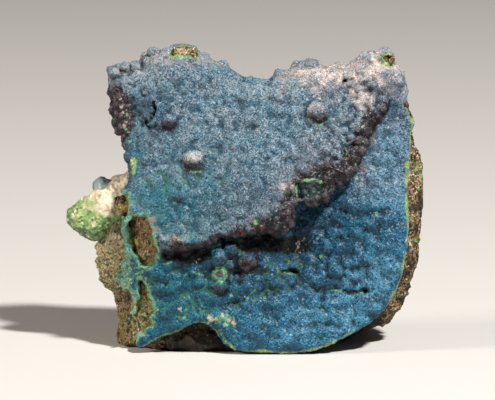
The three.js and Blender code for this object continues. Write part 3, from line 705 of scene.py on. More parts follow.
# Round lumps along the top edge: u, v, w, radius.
RIM_LUMPS = [
    (-30.6, 75.9, -13.4, 1.4), (-28.1, 75.8, -13, 1.3), (-23.6, 79.8, -14, 1.4),
    (-33.4, 74.3, -13, 1.4), (-33.8, 72, -14, 1), (8.9, 73.2, -14, 2.2), (12.2, 75.4, -15, 1.5),
    (13.9, 76.2, -15, 1.3), (15.6, 76.7, -15, 1.5), (17.6, 76.2, -15, 1.5), (20.6, 75.2, -14, 1.2),
    (0.6, 72.6, -12, 1), (24.9, 75.8, -15, 1.2), (27, 76.6, -15, 1.3), (29.6, 78, -15, 1.9),
    (31.6, 77.4, -15, 1.3), (35.2, 77.9, -14, 1.6),
]
# Hollows in the front: u, v, depth below the front, radius.
HOLLOWS = [
    (13.6, 45.4, -0.7, 2), (15.6, 45.3, -0.7, 2.1), (17.6, 45.4, -0.5, 1.8), (13, 43.6, -0.3, 1.2),
    (11.6, 24.8, 0.3, 0.9), (10.4, 25.2, 0.3, 0.6), (8.4, 25, 0.1, 0.5), (-7, 24.2, -0.9, 1),
    (24.4, 39.5, 0.1, 0.6), (23.2, 40, 0.1, 0.5), (20.6, 38.2, 0, 0.5), (13.8, 37.4, 0, 0.5),
    (28.4, 19.8, 0.2, 0.6), (29.4, 19.7, 0.2, 0.7), (26.7, 19.8, 0, 0.4), (-24.4, 63.8, 0.1, 0.7),
    (-24.2, 65.8, 0.2, 0.6), (-26.2, 61.3, 0.1, 0.6), (24.7, 72.4, 0.1, 0.5), (26, 72.9, 0.1, 0.5),
]
# Lumps in the round hollow of the ledge's bank: u, v, radius.
BOWL_LUMPS = [
    (14.3, 44.3, 1), (16.4, 44, 1.1), (15.4, 46, 0.9), (17.6, 45.4, 0.9), (13.7, 45.9, 0.7),
]
# Narrow creases between the lumps, each with its half width.
CREASES = [
    (0.5, [(-23.6, 66.8), (-22.9, 65.2), (-24, 63), (-25.4, 61.6)]),
    (0.3, [(-24.4, 31.8), (-22.4, 29.3)]), (0.3, [(-5.6, 16.3), (-0.6, 17.5)]),
    (0.3, [(24, 19.8), (26, 19.4), (30.1, 19.5)]), (0.4, [(24, 72), (26.4, 73)]),
    (0.5, [(8.2, 24.4), (11.1, 24.8), (12.6, 24.2)]),
]
# Small lumps that crowd the left edge's fold, the top right and the foot of the ledge: how many,
# and the ranges of their u, v, depth below the front and radius.
CROWDS = [
    (40, (-30, -23), (60, 70), (0.1, 0.4), (0.8, 1.4)),
    (70, (22, 40), (56, 79), (0.1, 0.5), (0.6, 1.1)),
    (110, (-16, 27), (17, 29), (0.1, 0.6), (0.6, 1.3)),
]
LEDGE_FOOT = 36  # lumps of the face that lie lower than this are on the lower plate
LOWER_OUT = 1.4  # and stand out this many times further
LUMP_STEPS = 2.6, 2.3  # how far apart the low round lumps lie along u and v
LOBES_PER_MM = 0.5  # the lobes of the ledge's bank, along its lip
LUMPS_PER_MM = 4.6  # and the lumps among them
EDGE_LUMPS = 150  # the small lumps along the upper left edge
RIM_SLANT = 0.5  # window rims are cut on a slant, so that the seam under the crust shows
CELL = 0.38  # the step of the crust's grid
NOWHERE = -30.0  # far behind the front
REACH = 2.5  # how far round a lump the grid is worked on
STRAY = 0.05  # how far points stray from the skin, which gives it a fine grain

crust_axes = us, vs, ws = spaced(-37, 44, CELL), spaced(1, 84, CELL), spaced(-28, 6.4, CELL)
U, V, W = np.ix_(*crust_axes)
# The skin's relief: waves and cusps of 1 to 6 mm that run up to the right.
across, along = 0.8 * U + 0.6 * V, 0.8 * V - 0.6 * U
relief = 0.45 * np.abs(grain(across / 2.6, along / 2.2, 4.5)) - 0.15
relief = relief + 0.12 * np.abs(grain(across / 1.1, along / 1.1, 7.5))
relief = relief + 0.7 * grain(across / 6, along / 4.2, 2.5)
outside = plates(U, V, W, 0, relief)


def front_at(u, v):
    """Where the front of the plates lies at one place."""
    solid = np.nonzero(outside[np.abs(us - u).argmin(), np.abs(vs - v).argmin()] < 0)[0]
    return ws[solid.max()] + CELL / 2 if len(solid) else NOWHERE


def near_ball(u, v, w, radius):
    """The part of the grid round a ball, and the distance to the ball there."""
    reach = radius + REACH
    part = tuple(
        slice(*np.searchsorted(axis, (at - reach, at + reach)))
        for axis, at in zip(crust_axes, (u, v, w))
    )
    x, y, z = np.ix_(*(axis[p] for axis, p in zip(crust_axes, part)))
    far = np.sqrt((x - u) ** 2 + (y - v) ** 2 + (z - w) ** 2) - radius
    return part, far + 0.12 * min(radius, 2.4) * grain(x / 1.1, y / 1.1, z / 1.1)


chance = np.random.default_rng(3)
# Each lump is a ball: u, v, w, radius. A face lump is the cap of a bigger one.
balls = []
for u, v, r, out in FACE_LUMPS:
    out = out * LOWER_OUT if v < LEDGE_FOOT else out
    ball = (r * r + out * out) / (2 * out)
    balls.append((u, v, front_at(u, v) + out - ball, ball))
balls += RIM_LUMPS

# Low round lumps lie side by side all over the face, broader and fuller on the lower plate.
low_lumps = []
for row, v in enumerate(spaced(7, 81, LUMP_STEPS[1])):
    for u in spaced(-35 + LUMP_STEPS[0] / 2 * (row % 2), 42, LUMP_STEPS[0]):
        u, y = u + chance.uniform(-0.9, 0.9), v + chance.uniform(-0.9, 0.9)
        low = outline_distance(UPPER_PLATE, u, y) > 0
        r, out = chance.uniform(0.9, 1.7) + 0.5 * low, chance.random()
        out = 0.14 + 1.25 * out ** 2 if low else 0.06 + 0.95 * out ** 3
        if low and math.hypot((u - 8) / 9, (y - 31.5) / 3.5) < 1:
            out = 0.1  # the hollow under the ledge is even
        if low and u > 22 and y > 38:
            out = 0.4 * out  # and so is the flat to its right
        low_lumps.append((u, y, front_at(u, y) + out - r, r))
# The ledge's lip is a bank of lobes about 3 mm across, set among lumps of 1 to 2 mm.
for (ax, ay), (bx, by) in zip(LEDGE_LIP, LEDGE_LIP[1:]):
    length = math.hypot(bx - ax, by - ay)
    lobes, small = max(1, round(length * LOBES_PER_MM)), max(3, round(length * LUMPS_PER_MM))
    for lobe in [True] * lobes + [False] * small:
        t, inward = chance.random(), (6 if ax > 14 else 3) * chance.random() ** 1.3 + 0.2
        inward = min(inward, 2.2) if lobe else inward
        u = ax + (bx - ax) * t - (by - ay) / length * inward
        v = ay + (by - ay) * t + (bx - ax) / length * inward
        deep = chance.uniform(0.1, 4) if inward < 1 else chance.uniform(-0.3, 0.4)
        r = chance.uniform(0.5, 1.1)
        if lobe:
            deep, r = chance.uniform(0.5, 1), chance.uniform(1.3, 1.8)
        balls.append((u, v, float(upper_face(u, v)) - deep, r))
# Small ones sit thick along the upper left edge.
for _ in range(EDGE_LUMPS):
    v = chance.uniform(56, 76)
    u = -34 + 0.28 * max(0, 65 - v) + 6.5 * chance.random() ** 1.4
    balls.append((u, v, front_at(u, v) - 0.4 - 0.5 * max(0, -31 - u), chance.uniform(0.6, 1.15)))
for count, *ranges in CROWDS:
    for _ in range(count):
        u, v, deep, r = (chance.uniform(*pair) for pair in ranges)
        balls.append((u, v, front_at(u, v) - deep, r))

# The low lumps flow into the skin, and the others stand on it with a sharp foot.
for fillet, lumps in ((0.9, low_lumps), (0.25, balls)):
    for ball in lumps:
        part, far = near_ball(*ball)
        outside[part] = join(outside[part], far, fillet)
for u, v, deep, r in HOLLOWS:
    part, far = near_ball(u, v, front_at(u, v) - deep, r)
    outside[part] = meet(outside[part], -far, 0.4)
for u, v, r in BOWL_LUMPS:
    part, far = near_ball(u, v, front_at(u, v) + 0.6 - r, r)
    outside[part] = join(outside[part], far, 0.2)
for half, line in CREASES:
    for (ax, ay), (bx, by) in zip(line, line[1:]):
        for t in np.linspace(0, 1, 2 + int(math.hypot(bx - ax, by - ay) / 0.3)):
            u, v = ax + (bx - ax) * t, ay + (by - ay) * t + 0.2 * math.sin(9 * t)
            part, far = near_ball(u, v, front_at(u, v), half * chance.uniform(0.9, 1.3))
            outside[part] = meet(outside[part], -far, 0.2)
# The right and lower edges are broken off, so no lump passes them.
outer = outline_distance(CRUST_EDGE, U, V) + 0.15 * grain(U / 1.2, V / 1.2, 6)
outside = np.maximum(outside, outer - 3 * ramp(34, 30, U) * ramp(12, 18, V) - 3 * ramp(68, 76, V))
outside = meet(outside, crust_end(U, V) - 2 - W, 1)

# The crust is cut through in the windows, with ragged edges, and trimmed just over the floor.
ragged = 0.5 * grain(U / 1.3, V / 1.3, 2.2) + 0.25 * grain(U / 0.6, V / 0.6, 5.1)
depth = lower_face(U, V) - W
ragged = ragged + (0.2 + 0.8 * ramp(1, 3.5, depth)) * grain(U / 1.8, V / 1.8, W / 1.5)
window = window_distance(U, V) + ragged - 0.3
crust = np.maximum(outside, -window - RIM_SLANT * np.maximum(-outside, 0))
crust = np.maximum(crust, ORIGIN[2] + 0.1 - height(V, W))
crust_points, crust_faces = skin(crust, crust_axes)
buried = rock_field(*crust_points.T) < -BURIED
crust_points, crust_faces = without(crust_points, crust_faces, buried)


def sample(field, points):
    """The values of a field on the crust's grid, at points between the grid's own."""
    at = [np.clip((points[:, n] - axis[0]) / CELL, 0, len(axis) - 1.001)
          for n, axis in enumerate(crust_axes)]
    low = [a.astype(int) for a in at]
    total = 0
    for corner in np.ndindex(2, 2, 2):
        share = 1.0
        for n in range(3):
            share = share * (at[n] - low[n] if corner[n] else 1 - at[n] + low[n])
        total = total + share * field[tuple(low[n] + corner[n] for n in range(3))]
    return total


def blurred(field, cells):
    """The field averaged over boxes of 2 * cells + 1 grid points each way."""
    for axis in range(3):
        side = np.moveaxis(field, axis, 0)
        side = np.concatenate([side[:1]] * (cells + 1) + [side] + [side[-1:]] * cells)
        total = np.cumsum(side, 0, dtype=np.float64)
        wide = 2 * cells + 1
        field = np.moveaxis((total[wide:] - total[:-wide]) / wide, 0, axis)
    return field


# The normals come from the outside's field, smoothed. How solid the space round each point is, in
# a box of 2 mm and one of 5 mm, is above 0 in creases and hollows and below 0 on lumps.
# These measures are used below for painted shade in creases and hollows and painted light on lumps.
smooth = np.gradient(blurred(np.clip(outside, -3, 3), 2), CELL)
crust_normals = unit(np.stack([sample(part, crust_points) for part in smooth], 1))
up = height(*crust_normals.T[1:])
under_skin = -sample(outside, crust_points)
solid = (crust < 0).astype(np.float32)
crowded = sample(blurred(solid, 2), crust_points) - 0.5
hollow_shade = sample(blurred(solid, 6), crust_points) - 0.5

# Green streaks, each with its half width: where the seam of pseudomalachite under the blue shows
# through, mostly in creases and under the bigger lumps.
GREEN_STREAKS = [
    (0.35, [(15.1, 62.6), (16.1, 61.6), (17.9, 61.1), (19.6, 61.7), (20.9, 62.8)]),
    (0.25, [(-16.9, 49.9), (-14.9, 49.4), (-12.9, 49.4), (-11.1, 49.6)]),
    (0.2, [(-12.4, 55.8), (-11.9, 55.1), (-11.1, 54.8)]),
    (0.2, [(-10.6, 54.1), (-9.4, 54), (-7.9, 54.4)]),
    (0.3, [(-20.1, 43.8), (-19.4, 42.5), (-18.1, 41.8), (-16.9, 41.6)]),
    (0.35, [(13.4, 46.9), (14.6, 47.4), (16.6, 47.5), (18.4, 47)]), (0.25, [(12.2, 46.2), (12.2, 43)]),
    (0.2, [(-14.4, 26.2), (-13.8, 24.4), (-11.9, 23.8), (-9.4, 23.8)]),
    (0.2, [(-28.1, 25.5), (-24.4, 26), (-18.9, 27)]),
    (0.3, [(-28.9, 23.8), (-26.4, 24.5), (-23.1, 25.5)]),
    (0.2, [(20.6, 19.9), (24.4, 19.8), (27.6, 19.3), (30.1, 19.4)]),
    (0.25, [(7.6, 24.6), (11.1, 24.1), (13.1, 24.2)]),
    (0.3, [(-22.6, 7), (-16.9, 9.4), (-13.1, 11.9), (-10.6, 11.9), (-6.9, 10), (-5.4, 7), (-3.1, 5.8)]),
    (0.2, [(-17.6, 13.5), (-16.6, 13), (-15.4, 13.4)]), (0.2, [(-0.6, 17.5), (1.9, 20)]),
    (0.25, [(21.4, 7.2), (24.4, 8.5), (26.9, 9.8)]), (0.4, [(40.4, 61.5), (41.2, 60.2)]),
    (0.5, [(39.9, 50), (39.8, 46)]), (0.3, [(39.6, 44), (39.4, 38)]),
    (0.3, [(-30, 22.6), (-29.2, 18.4), (-27.6, 15)]),
]
# Green spots of the same: u, v, radius.
GREEN_SPOTS = [
    (18.4, 28.5, 0.4), (32.4, 39, 0.4), (32.4, 36.5, 0.3), (-4.1, 18.5, 0.6), (1.9, 36.8, 0.7),
    (4.4, 26, 0.3), (11.9, 26.5, 0.4), (17.6, 33.2, 0.4), (-7.1, 12.6, 1.3), (-5, 13.4, 0.9),
    (-9, 13, 0.8), (-3.5, 12.2, 0.7), (-5.8, 11.4, 0.9), (24.2, 57.3, 0.3), (20.4, 61.2, 0.2),
    (27.3, 47.6, 0.3), (28.7, 60.8, 0.25), (-30.4, 63.6, 0.35), (-30.6, 60.4, 0.35),
    (-31.5, 66.4, 0.25), (-29.4, 57, 0.4), (29, 57.1, 0.25), (27, 51.4, 0.3), (24.8, 53.9, 0.2),
    (28.4, 62.2, 0.2),
]
# Bare cream, rust and rose spots, where the blue is chipped off: u, v, radius.
CHIPS = {
    "cream": [
        (-9.2, 13, 0.6), (-8.3, 12.7, 0.5), (-6.2, 13.7, 0.4), (-4.3, 12.5, 0.4), (-3.4, 11.9, 0.5),
        (-5.6, 11.8, 0.4), (-16.9, 15.3, 0.3), (-31.2, 64.4, 0.25), (-30.4, 62, 0.25),
        (-31.8, 67.6, 0.25), (-29.8, 59.4, 0.3), (-30.9, 61.2, 0.25), (-31.6, 65.8, 0.2),
    ],
    "grey": [(-23.9, 37, 1.1), (-23.4, 35.6, 1)],
    "rust": [(-7, 24.2, 0.8), (-1.4, 34, 0.45), (3.9, 35.2, 0.5), (24.8, 52.8, 0.3), (-9.6, 14.6, 0.3)],
}
# Where the seam lies bare in a bar along a broken edge: half width, and the line of it.
SEAM_BARS = [
    (0.65, [(-28.5, 52.3), (-28.5, 49.4)]), (0.6, [(40.3, 51.6), (40.1, 45.8)]),
    (0.4, [(39.9, 44), (40.1, 38)]), (0.5, [(39.7, 29), (38.9, 25.6)]),
    (0.4, [(40.8, 65.4), (41.6, 62)]),
]
# Places of deeper blue, many of them painted shadow below the ledge and on folds turned from the
# light: u, v, half width, half height and share.
NAVY_AND_SHADOW = [
    (-26.6, 65, 4.2, 4.6, 1), (-24.5, 60, 4, 3, 0.6), (20, 39, 8, 4, 0.9), (14, 33, 7, 5, 1),
    (33, 36.8, 6, 2.4, 0.8), (25, 31, 6, 4, 0.5), (26, 19.6, 6, 0.8, 0.6), (9, 21.6, 8, 2.6, 0.7),
    (11, 27.4, 6, 3.4, 0.9), (18, 29, 4, 4, 0.7), (34, 17.4, 4, 1.4, 0.5), (9, 38, 3, 2, 0.6),
    (-3, 17, 6, 1.8, 0.5), (14, 11.1, 11, 0.8, 0.5), (-6, 20, 4, 2, 0.5),
    (32, 18, 4, 1.6, 0.6), (34, 47, 3, 3, 0.35), (2, 8.6, 3.6, 1.2, 0.5),
    (-9, 71, 5, 1.4, 0.3), (-16, 77.2, 4, 2, 0.5), (-3, 42, 12, 3.6, 0.4), (18, 61.6, 4, 1.2, 0.3),
    (5, 19, 3, 2, 0.6), (-17, 65, 3, 3, 0.3), (-25, 58.5, 4.4, 3.4, 0.6), (-28.6, 63, 2.4, 3, 0.7),
    (-21, 67, 2.4, 2, 0.5), (-12, 71, 3, 2, 0.4), (34, 38.6, 5, 1.6, 0.5),
    (11, 27, 15, 10, 0.6), (2, 43.5, 9, 6, 0.35), (21, 40, 9, 6, 0.5), (34, 35, 6, 5, 0.4),
    (10, 23.6, 5, 2.4, 0.9), (23.5, 32.6, 4, 3, 0.8), (35.5, 70.2, 4, 2.4, 0.9), (24, 39.6, 4, 1.6, 1),
    (31, 39, 3, 1.4, 0.9), (4.4, 19.2, 2.2, 1.2, 0.8), (17.4, 33.4, 2.6, 2, 1),
    (0.4, 27.4, 2.4, 2.4, 1), (-4, 37.4, 3.6, 2.6, 0.5), (-24, 32.6, 2, 3, 0.7),
    (-22, 62.6, 2.4, 2.4, 0.5), (7.4, 67.2, 2, 1.2, 0.5),
    (11, 24.2, 3, 1.2, 1), (-11, 28, 3, 1.6, 0.5), (12, 43, 1.4, 1.6, 0.6), (37.6, 20.6, 1.6, 1.8, 0.5),
    (27.6, 28, 3, 1.8, 0.5), (-4, 60.4, 4, 1, 0.3), (-9.6, 57, 3, 2, 0.3), (-13.4, 62, 2, 1.6, 0.3),
]
# Places of paler blue, some of them painted light on lit lump tops and beside the bank, in the
# same way.
BRIGHT_AND_LIT = [
    (34.6, 25, 6, 4.6, 0.9), (35, 51, 5.6, 13, 0.9), (27, 13, 5, 1.6, 0.7),
    (11, 13.6, 3.4, 1.2, 0.7), (10, 8.6, 7, 1.8, 0.5),
    (25, 17.6, 5, 1.4, 0.6), (36, 42, 4, 3, 0.6), (32, 54, 2.6, 4.6, 0.6), (9.4, 46.4, 2.4, 2.2, 0.6),
    (-13, 53.6, 3.8, 1.8, 1), (-24, 43, 5, 3, 0.4), (-32, 72.5, 4, 4, 0.8), (10, 70.4, 5, 3.4, 0.6),
    (-2, 71.4, 5, 1.8, 0.5), (-16, 58, 3, 3, 0.4), (30, 67, 4, 3, 0.5),
    (1, 70.4, 6, 3, 0.7), (-18, 33, 4, 2.6, 0.7), (-24, 20, 3.4, 2.4, 0.5), (-14, 10.8, 6, 1.6, 0.9),
    (-28, 73, 6, 4, 0.7), (30.6, 53.4, 2, 3, 1), (32.8, 58.6, 2, 3, 1), (35.2, 64, 2, 3, 0.8),
    (-20, 47, 9, 6, 0.4), (13, 68, 8, 4, 0.5), (-6.6, 63.4, 3.4, 2, 0.6), (1.4, 61, 2, 1.2, 0.6),
    (24.8, 61.4, 2, 1.6, 0.7), (-7, 47.6, 5, 1.6, 0.4), (33.6, 42.6, 3.4, 2.4, 0.7),
    (29.4, 33, 2, 3, 0.4),
    (-20.4, 28.6, 1.6, 1, 0.5), (-9, 22.4, 1.6, 1.4, 0.5), (32, 57, 1.6, 3, 1),
    (31, 22, 9, 8, 0.7), (20, 13, 13, 4, 0.45),
]
# Dusty tops of lumps, some of them painted light on lit tops and beside the bank, in the same way.
DUSTY_AND_LIT = [
    (-13.2, 53.2, 3, 1.3, 0.5), (17.6, 65.8, 2.4, 1.1, 0.3), (-18, 33, 3.4, 1.4, 0.35),
    (29.4, 67.4, 3.6, 2, 0.6), (9.8, 45.7, 1.9, 1.4, 0.6), (-30, 75, 4, 1.4, 0.4),
    (28.9, 50.4, 1.1, 2.2, 0.35), (31.6, 57.4, 1.1, 2.6, 0.35), (-13, 10.6, 3, 1, 0.3),
]
# Lumps that stand bare out of the dust at the top right, in the same way.
BARE = [
    (15, 76.6, 4.6, 1.5, 0.85), (8, 74.4, 2.4, 1.2, 0.7), (16, 73, 4, 1.2, 0.5),
    (31, 71.4, 2, 2.6, 0.85), (33, 66.6, 2, 2, 0.9), (38.4, 71.6, 1.4, 1.2, 0.8),
    (36, 73.4, 3.4, 2, 0.5), (28.6, 76, 3.4, 3, 0.45), (20.5, 68.6, 6, 3.2, 0.7),
]
# Lumps of a greyish mauve, in the same way.
MAUVE = [
    (20.5, 68.6, 6.5, 4, 0.9), (30, 67, 4, 5, 1), (28.5, 75.6, 4, 4, 0.9), (36, 73.4, 3.6, 3, 0.8),
    (15, 75, 5, 3, 0.8), (18, 64, 4, 3, 0.7), (8, 74, 3, 2, 0.6),
]
# Painted shade in the hollows under the ledge and between the bank's lobes, almost black, in the
# same way.
DEEP_GAP_SHADES = [
    (21, 48.8, 8, 5, 0.95), (17, 48.4, 4.6, 2, 1), (22, 51.4, 3.2, 2.4, 1), (18, 43.4, 5, 2.4, 1),
    (8, 36.8, 4.8, 3, 1), (31, 61, 3, 3.4, 0.8), (0.2, 26.4, 2.4, 1.8, 0.6),
]
# The darkest painted shadow, just below the ledge: u, v, half width, half height.
SHADES = [(-14.8, 28.6, 6.2, 2.4), (3, 31.7, 6.4, 2.6), (11, 31.2, 5.6, 2.4)]
CRATER = (-7, 23.9, 1.5)  # a broken lump with a green rim: u, v, radius
BOWL = (15.4, 45.2)  # the round hollow in the ledge's bank: u, v
u, v, w = crust_points.T
to_front = lower_face(u, v) - w
wander = 0.8 * grain(u / 0.7, v / 0.7, 3)
broken_up = ramp(-0.6, 0.3, grain(u / 1.3, v / 1.3, w / 1.3 + 11))
streak = 0 * u
for half, line in GREEN_STREAKS:
    far = path_distance(line, u, v) + 0.6 * wander * half
    streak = np.maximum(streak, ramp(1.5 * half, 0.5 * half, far) * broken_up)
for x, y, r in GREEN_SPOTS:
    streak = np.maximum(streak, ramp(1.3 * r, 0.6 * r, np.hypot(u - x, v - y) + wander * r))
x, y, r = CRATER
streak = np.maximum(streak, ramp(0.75, 0.3, np.abs(np.hypot(u - x, v - y) - r)))
cream, grey, rust = (
    np.max([ramp(1.2 * r, 0.7 * r, np.hypot(u - x, v - y) + wander * r) for x, y, r in CHIPS[key]], 0)
    for key in ("cream", "grey", "rust")
)

# The broken right and lower edges show the seam too.
edge = outline_distance(CRUST_EDGE, u, v)
broken = np.maximum(ramp(33, 37, u) * ramp(72, 65, v), ramp(12, 8, v)) * (w > crust_end(u, v) + 1)
uneven = 0.5 * grain(u / 2, v / 2, w / 1.6 + 8) + 0.4 * grain(u / 6, v / 6, w / 3 + 2)
seam = ramp(-0.35, -0.05, edge + uneven - 0.9 * ramp(1.6, 4, to_front)) * broken
top_windows = window_distance(u, v, ("top", "top_right")) + 0.4 * wander
seam = np.maximum(seam * (0.35 + 0.65 * broken_up), ramp(0.75, 0.4, top_windows))
for half, line in SEAM_BARS:
    far = path_distance(line, u, v) + 0.6 * grain(u / 1.6, v / 1.6, w / 1.6) * half
    bar = ramp(1.2 * half, 0.7 * half, far) * ramp(3.2, 1.8, to_front - 2 * uneven)
    seam = np.maximum(seam, bar)
seam = np.maximum(seam, ramp(0.15, 0.4, under_skin))
deep_seam = ramp(0.5, 1.3, under_skin)

# The ledge's bank and the left edge are violet brown: a coat of dark crystals. The same mask
# carries painted shade under the big lumps and between the bank's lobes, and painted light on
# up-facing crests.
BANK = [
    (32.8, 65.4), (31, 64.4), (29.2, 62.8), (27.8, 59.6), (26.2, 55.8), (23.8, 53), (18.2, 51.8),
    (13.3, 49.6), (10.8, 45.6), (7.6, 40.6), (3.1, 37.4), (-3.1, 35), (-9.4, 33.8),
    (-16.9, 32.2), (-20.6, 31.8), (-20.9, 31.3), (-18.9, 28.3), (-14.4, 27), (-10.1, 28.8),
    (-6.9, 30.8), (-3.1, 32), (3.1, 33.8),
    (9.4, 34.5), (11.6, 37.5), (12.2, 43.8), (14.9, 40.8), (18.6, 41.3), (20.6, 43.8), (24.7, 47.3),
    (26.9, 50.3), (30.1, 59.1), (33.1, 63.6), (33.7, 65.8),
]
LEFT_COAT = [
    (-37, 71), (-33.2, 70.8), (-31.2, 69.5), (-29.2, 68), (-28, 65), (-28.2, 61.8),
    (-30.6, 57.5), (-33, 57), (-37, 66),
]
# Lumps whose undersides get painted shade: u, v, radius, and how dark.
SHADED_LUMPS = [
    (17.9, 63.6, 3.2, 0.7), (-13.6, 51.6, 3, 0.7), (-19.5, 61.5, 2.2, 0.7), (-17.8, 63, 1.8, 0.5),
    (0.2, 26.9, 2.7, 1), (-7.2, 20.4, 2.2, 0.7), (-0.9, 67.8, 1.3, 0.5), (8.1, 67.4, 1.3, 0.6),
    (-31.6, 74.6, 1.1, 0.9), (-22.6, 40.6, 1.1, 0.5), (35, 74.7, 1, 0.5), (24.4, 68.3, 1.1, 0.6),
    (25.6, 66.9, 1.1, 0.7), (-17.5, 44.2, 3, 0.3), (4.4, 26, 1, 0.6), (-7.6, 31, 1.6, 0.5),
    (13.2, 75.6, 2.4, 0.7), (16.8, 75.8, 2.6, 0.7), (9, 72.6, 2.2, 0.5), (19.4, 73.8, 2, 0.5),
    (30.4, 71.2, 2.2, 0.8), (29.6, 77, 2, 0.5), (26.8, 69.6, 1.8, 0.5), (33.4, 66.4, 2, 0.8),
]
bowl_far = np.hypot((u - BOWL[0]) * 0.8, v - BOWL[1])
inward = -outline_distance(UPPER_PLATE, u, v)
lower = ramp(0.5, -0.5, inward)
bank_far = outline_distance(BANK, u, v)
coat_and_shade = ramp(1.6, -1, bank_far + 2 * grain(u / 2.5, v / 2.5, 1))
lip = LEDGE_UNDERCUT * (upper_face(u, v) - w - LEDGE_DEPTH) - inward
bank = ramp(-2.2, -1.2, lip - grain(u / 2, v / 2, 1)) * ramp(1.5, 0.9, lip) * ramp(-26, -24, u)
coat_and_shade = np.maximum(coat_and_shade * ramp(1.5, 0.9, lip), bank) * ramp(70, 65, v)
coat_and_shade = coat_and_shade * (0.45 + 0.55 * ramp(0.4, 2.4, bowl_far))
coat_and_shade = np.maximum(coat_and_shade, 0.4 * ramp(7, 3, np.hypot(u + 3, v - 27)))
for x, y, r, share in SHADED_LUMPS:
    there = ramp(1.15 * r, 0.7 * r, np.hypot(u - x, v - y)) * ramp(0.5, -0.1, up - share + 0.7)
    coat_and_shade = np.maximum(coat_and_shade, share * there)
# Painted light: crests that face up are made lighter in the dark coat.
crest = ramp(0.2, 0.65, up) * ramp(0.02, -0.08, crowded)
coat_and_shade = coat_and_shade * (1 - (0.2 + 0.5 * ramp(0, -12, u)) * crest)
coat = outline_distance(LEFT_COAT, u, v) + 2.2 * grain(u / 1.6, v / 1.6, w / 1.8)
coat = coat + 4 * grain(u / 5, v / 5, w / 3 + 2) * ramp(2, 5, to_front)
coat_and_shade = np.maximum(coat_and_shade, 0.95 * ramp(0.8, -0.4, coat))
# Painted shade: undersides are darker and more violet than the fronts.
underside_shade = ramp(0.3, -0.35, up)


def patches(places):
    """A number for each point, near its share inside each patch, with a wavy edge."""
    wave = 0.35 * grain(u / 2.4, v / 2.4, 17)
    return np.max([
        share * ramp(1.2, 0.5, np.hypot((u - x) / wide, (v - y) / high) + wave)
        for x, y, wide, high, share in places
    ], 0)


navy_and_shadow, bright_and_lit, deep_gap_shade = patches(NAVY_AND_SHADOW), patches(BRIGHT_AND_LIT), patches(DEEP_GAP_SHADES)
# Pale dust lies on the flats at the top right, and a little on every ledge that faces up.
dust_and_light = ramp(4, 14, u + 3 * grain(u / 4, v / 4, 2)) * ramp(67, 73, v + 3 * grain(u / 3, v / 3, 5))
dust_and_light = np.maximum(dust_and_light, 0.35 * ramp(74.5, 77.5, v))
dust_and_light = dust_and_light * ramp(-0.2, 0.3, up + 0.3 * grain(u / 1.5, v / 1.5, 9))
dust_and_light = dust_and_light * (0.3 + 0.7 * ramp(-0.15, 0.02, crowded + 0.06 * grain(u / 2, v / 2, 21)))
dust_and_light = dust_and_light * (1 - 0.7 * coat_and_shade) * (1 - 0.6 * navy_and_shadow) * (1 - patches(BARE))
# The dusty patches add painted light on lit tops and beside the bank.
dust_and_light = np.maximum(dust_and_light, patches(DUSTY_AND_LIT))
# Lower down and to the left the blue is deeper and greener.
teal = np.maximum(lower * ramp(14, -20, u), ramp(4, -18, u) * ramp(60, 40, v))
teal = np.maximum(teal, ramp(-22, -28, u) * ramp(72, 64, v) * 0.7)
teal = np.clip(teal + 0.3 * grain(u / 5, v / 5, 4), 0, 1)
# The left border and the rims of its windows show the pale green layers under the blue.
wavy = v + 3 * grain(u / 3, v / 3, w / 3 + 7)
aqua = ramp(-28.4, -29.6, u + 1.2 * wander) * ramp(12, 15, wavy) * ramp(46, 43, wavy)
aqua = aqua * (1 - 0.8 * ramp(0, 0.5, grain(u / 2.5, v / 2.5, w / 2.5 + 15)) * ramp(1.5, 4, to_front))
rims = ramp(0.9, 0.3, window_distance(u, v) + 0.8 * wander) * ramp(-20, -22, u)
aqua = np.maximum(aqua, rims) * ramp(46, 44, v)
# Round the bank the blue turns to a greyish mauve.
mauve = ramp(9, 1, bank_far + 3 * grain(u / 3, v / 3, 19)) * (1 - lower) * ramp(-10, 10, u)
mauve = np.maximum(mauve, 0.9 * lower * ramp(20, 28, u) * ramp(38, 48, v))
mauve = np.maximum(mauve, patches(MAUVE))
# A little green lines the creases below the middle and at the left.
lining = ramp(0.02, 0.09, crowded) * ramp(0.0, 0.4, grain(u / 3, v / 3, 14) + 0.25 * ramp(0, -25, u))
lining = lining * ramp(56, 44, v) * ramp(30, -10, u)
# Painted shadow: deep under the ledge, in broad hollows and along the creases the crystals are
# painted almost black.
painted_shadow = lower * np.max([
    ramp(1.2, 0.8, np.hypot((u - x) / wide, (v - y) / high) + 0.16 * grain(u / 1.4, v / 1.4, 12))
    for x, y, wide, high in SHADES
], 0)
gash = [ramp(1.3 * half, 0.4 * half, path_distance(line, u, v)) for half, line in CREASES]
painted_shadow = np.max([painted_shadow, ramp(0.12, 0.26, hollow_shade), 0.6 * np.max(gash, 0)], 0)
coat_and_shade = np.maximum(coat_and_shade, 0.9 * deep_gap_shade * (1 - 0.6 * crest) * (1 - lower))
# Painted shade between the bank's lobes and in its hollows, near black.
gap_shade = coat_and_shade * np.maximum(ramp(-0.06, 0.05, crowded), deep_gap_shade * (1 - 0.4 * crest))
# Where the painted glints show: fewer below the ledge, in the teal and in the navy.
sparkle = (1 - 0.35 * lower * (1 - mauve)) * (1 - 0.9 * teal) * (1 - 0.6 * navy_and_shadow * lower)
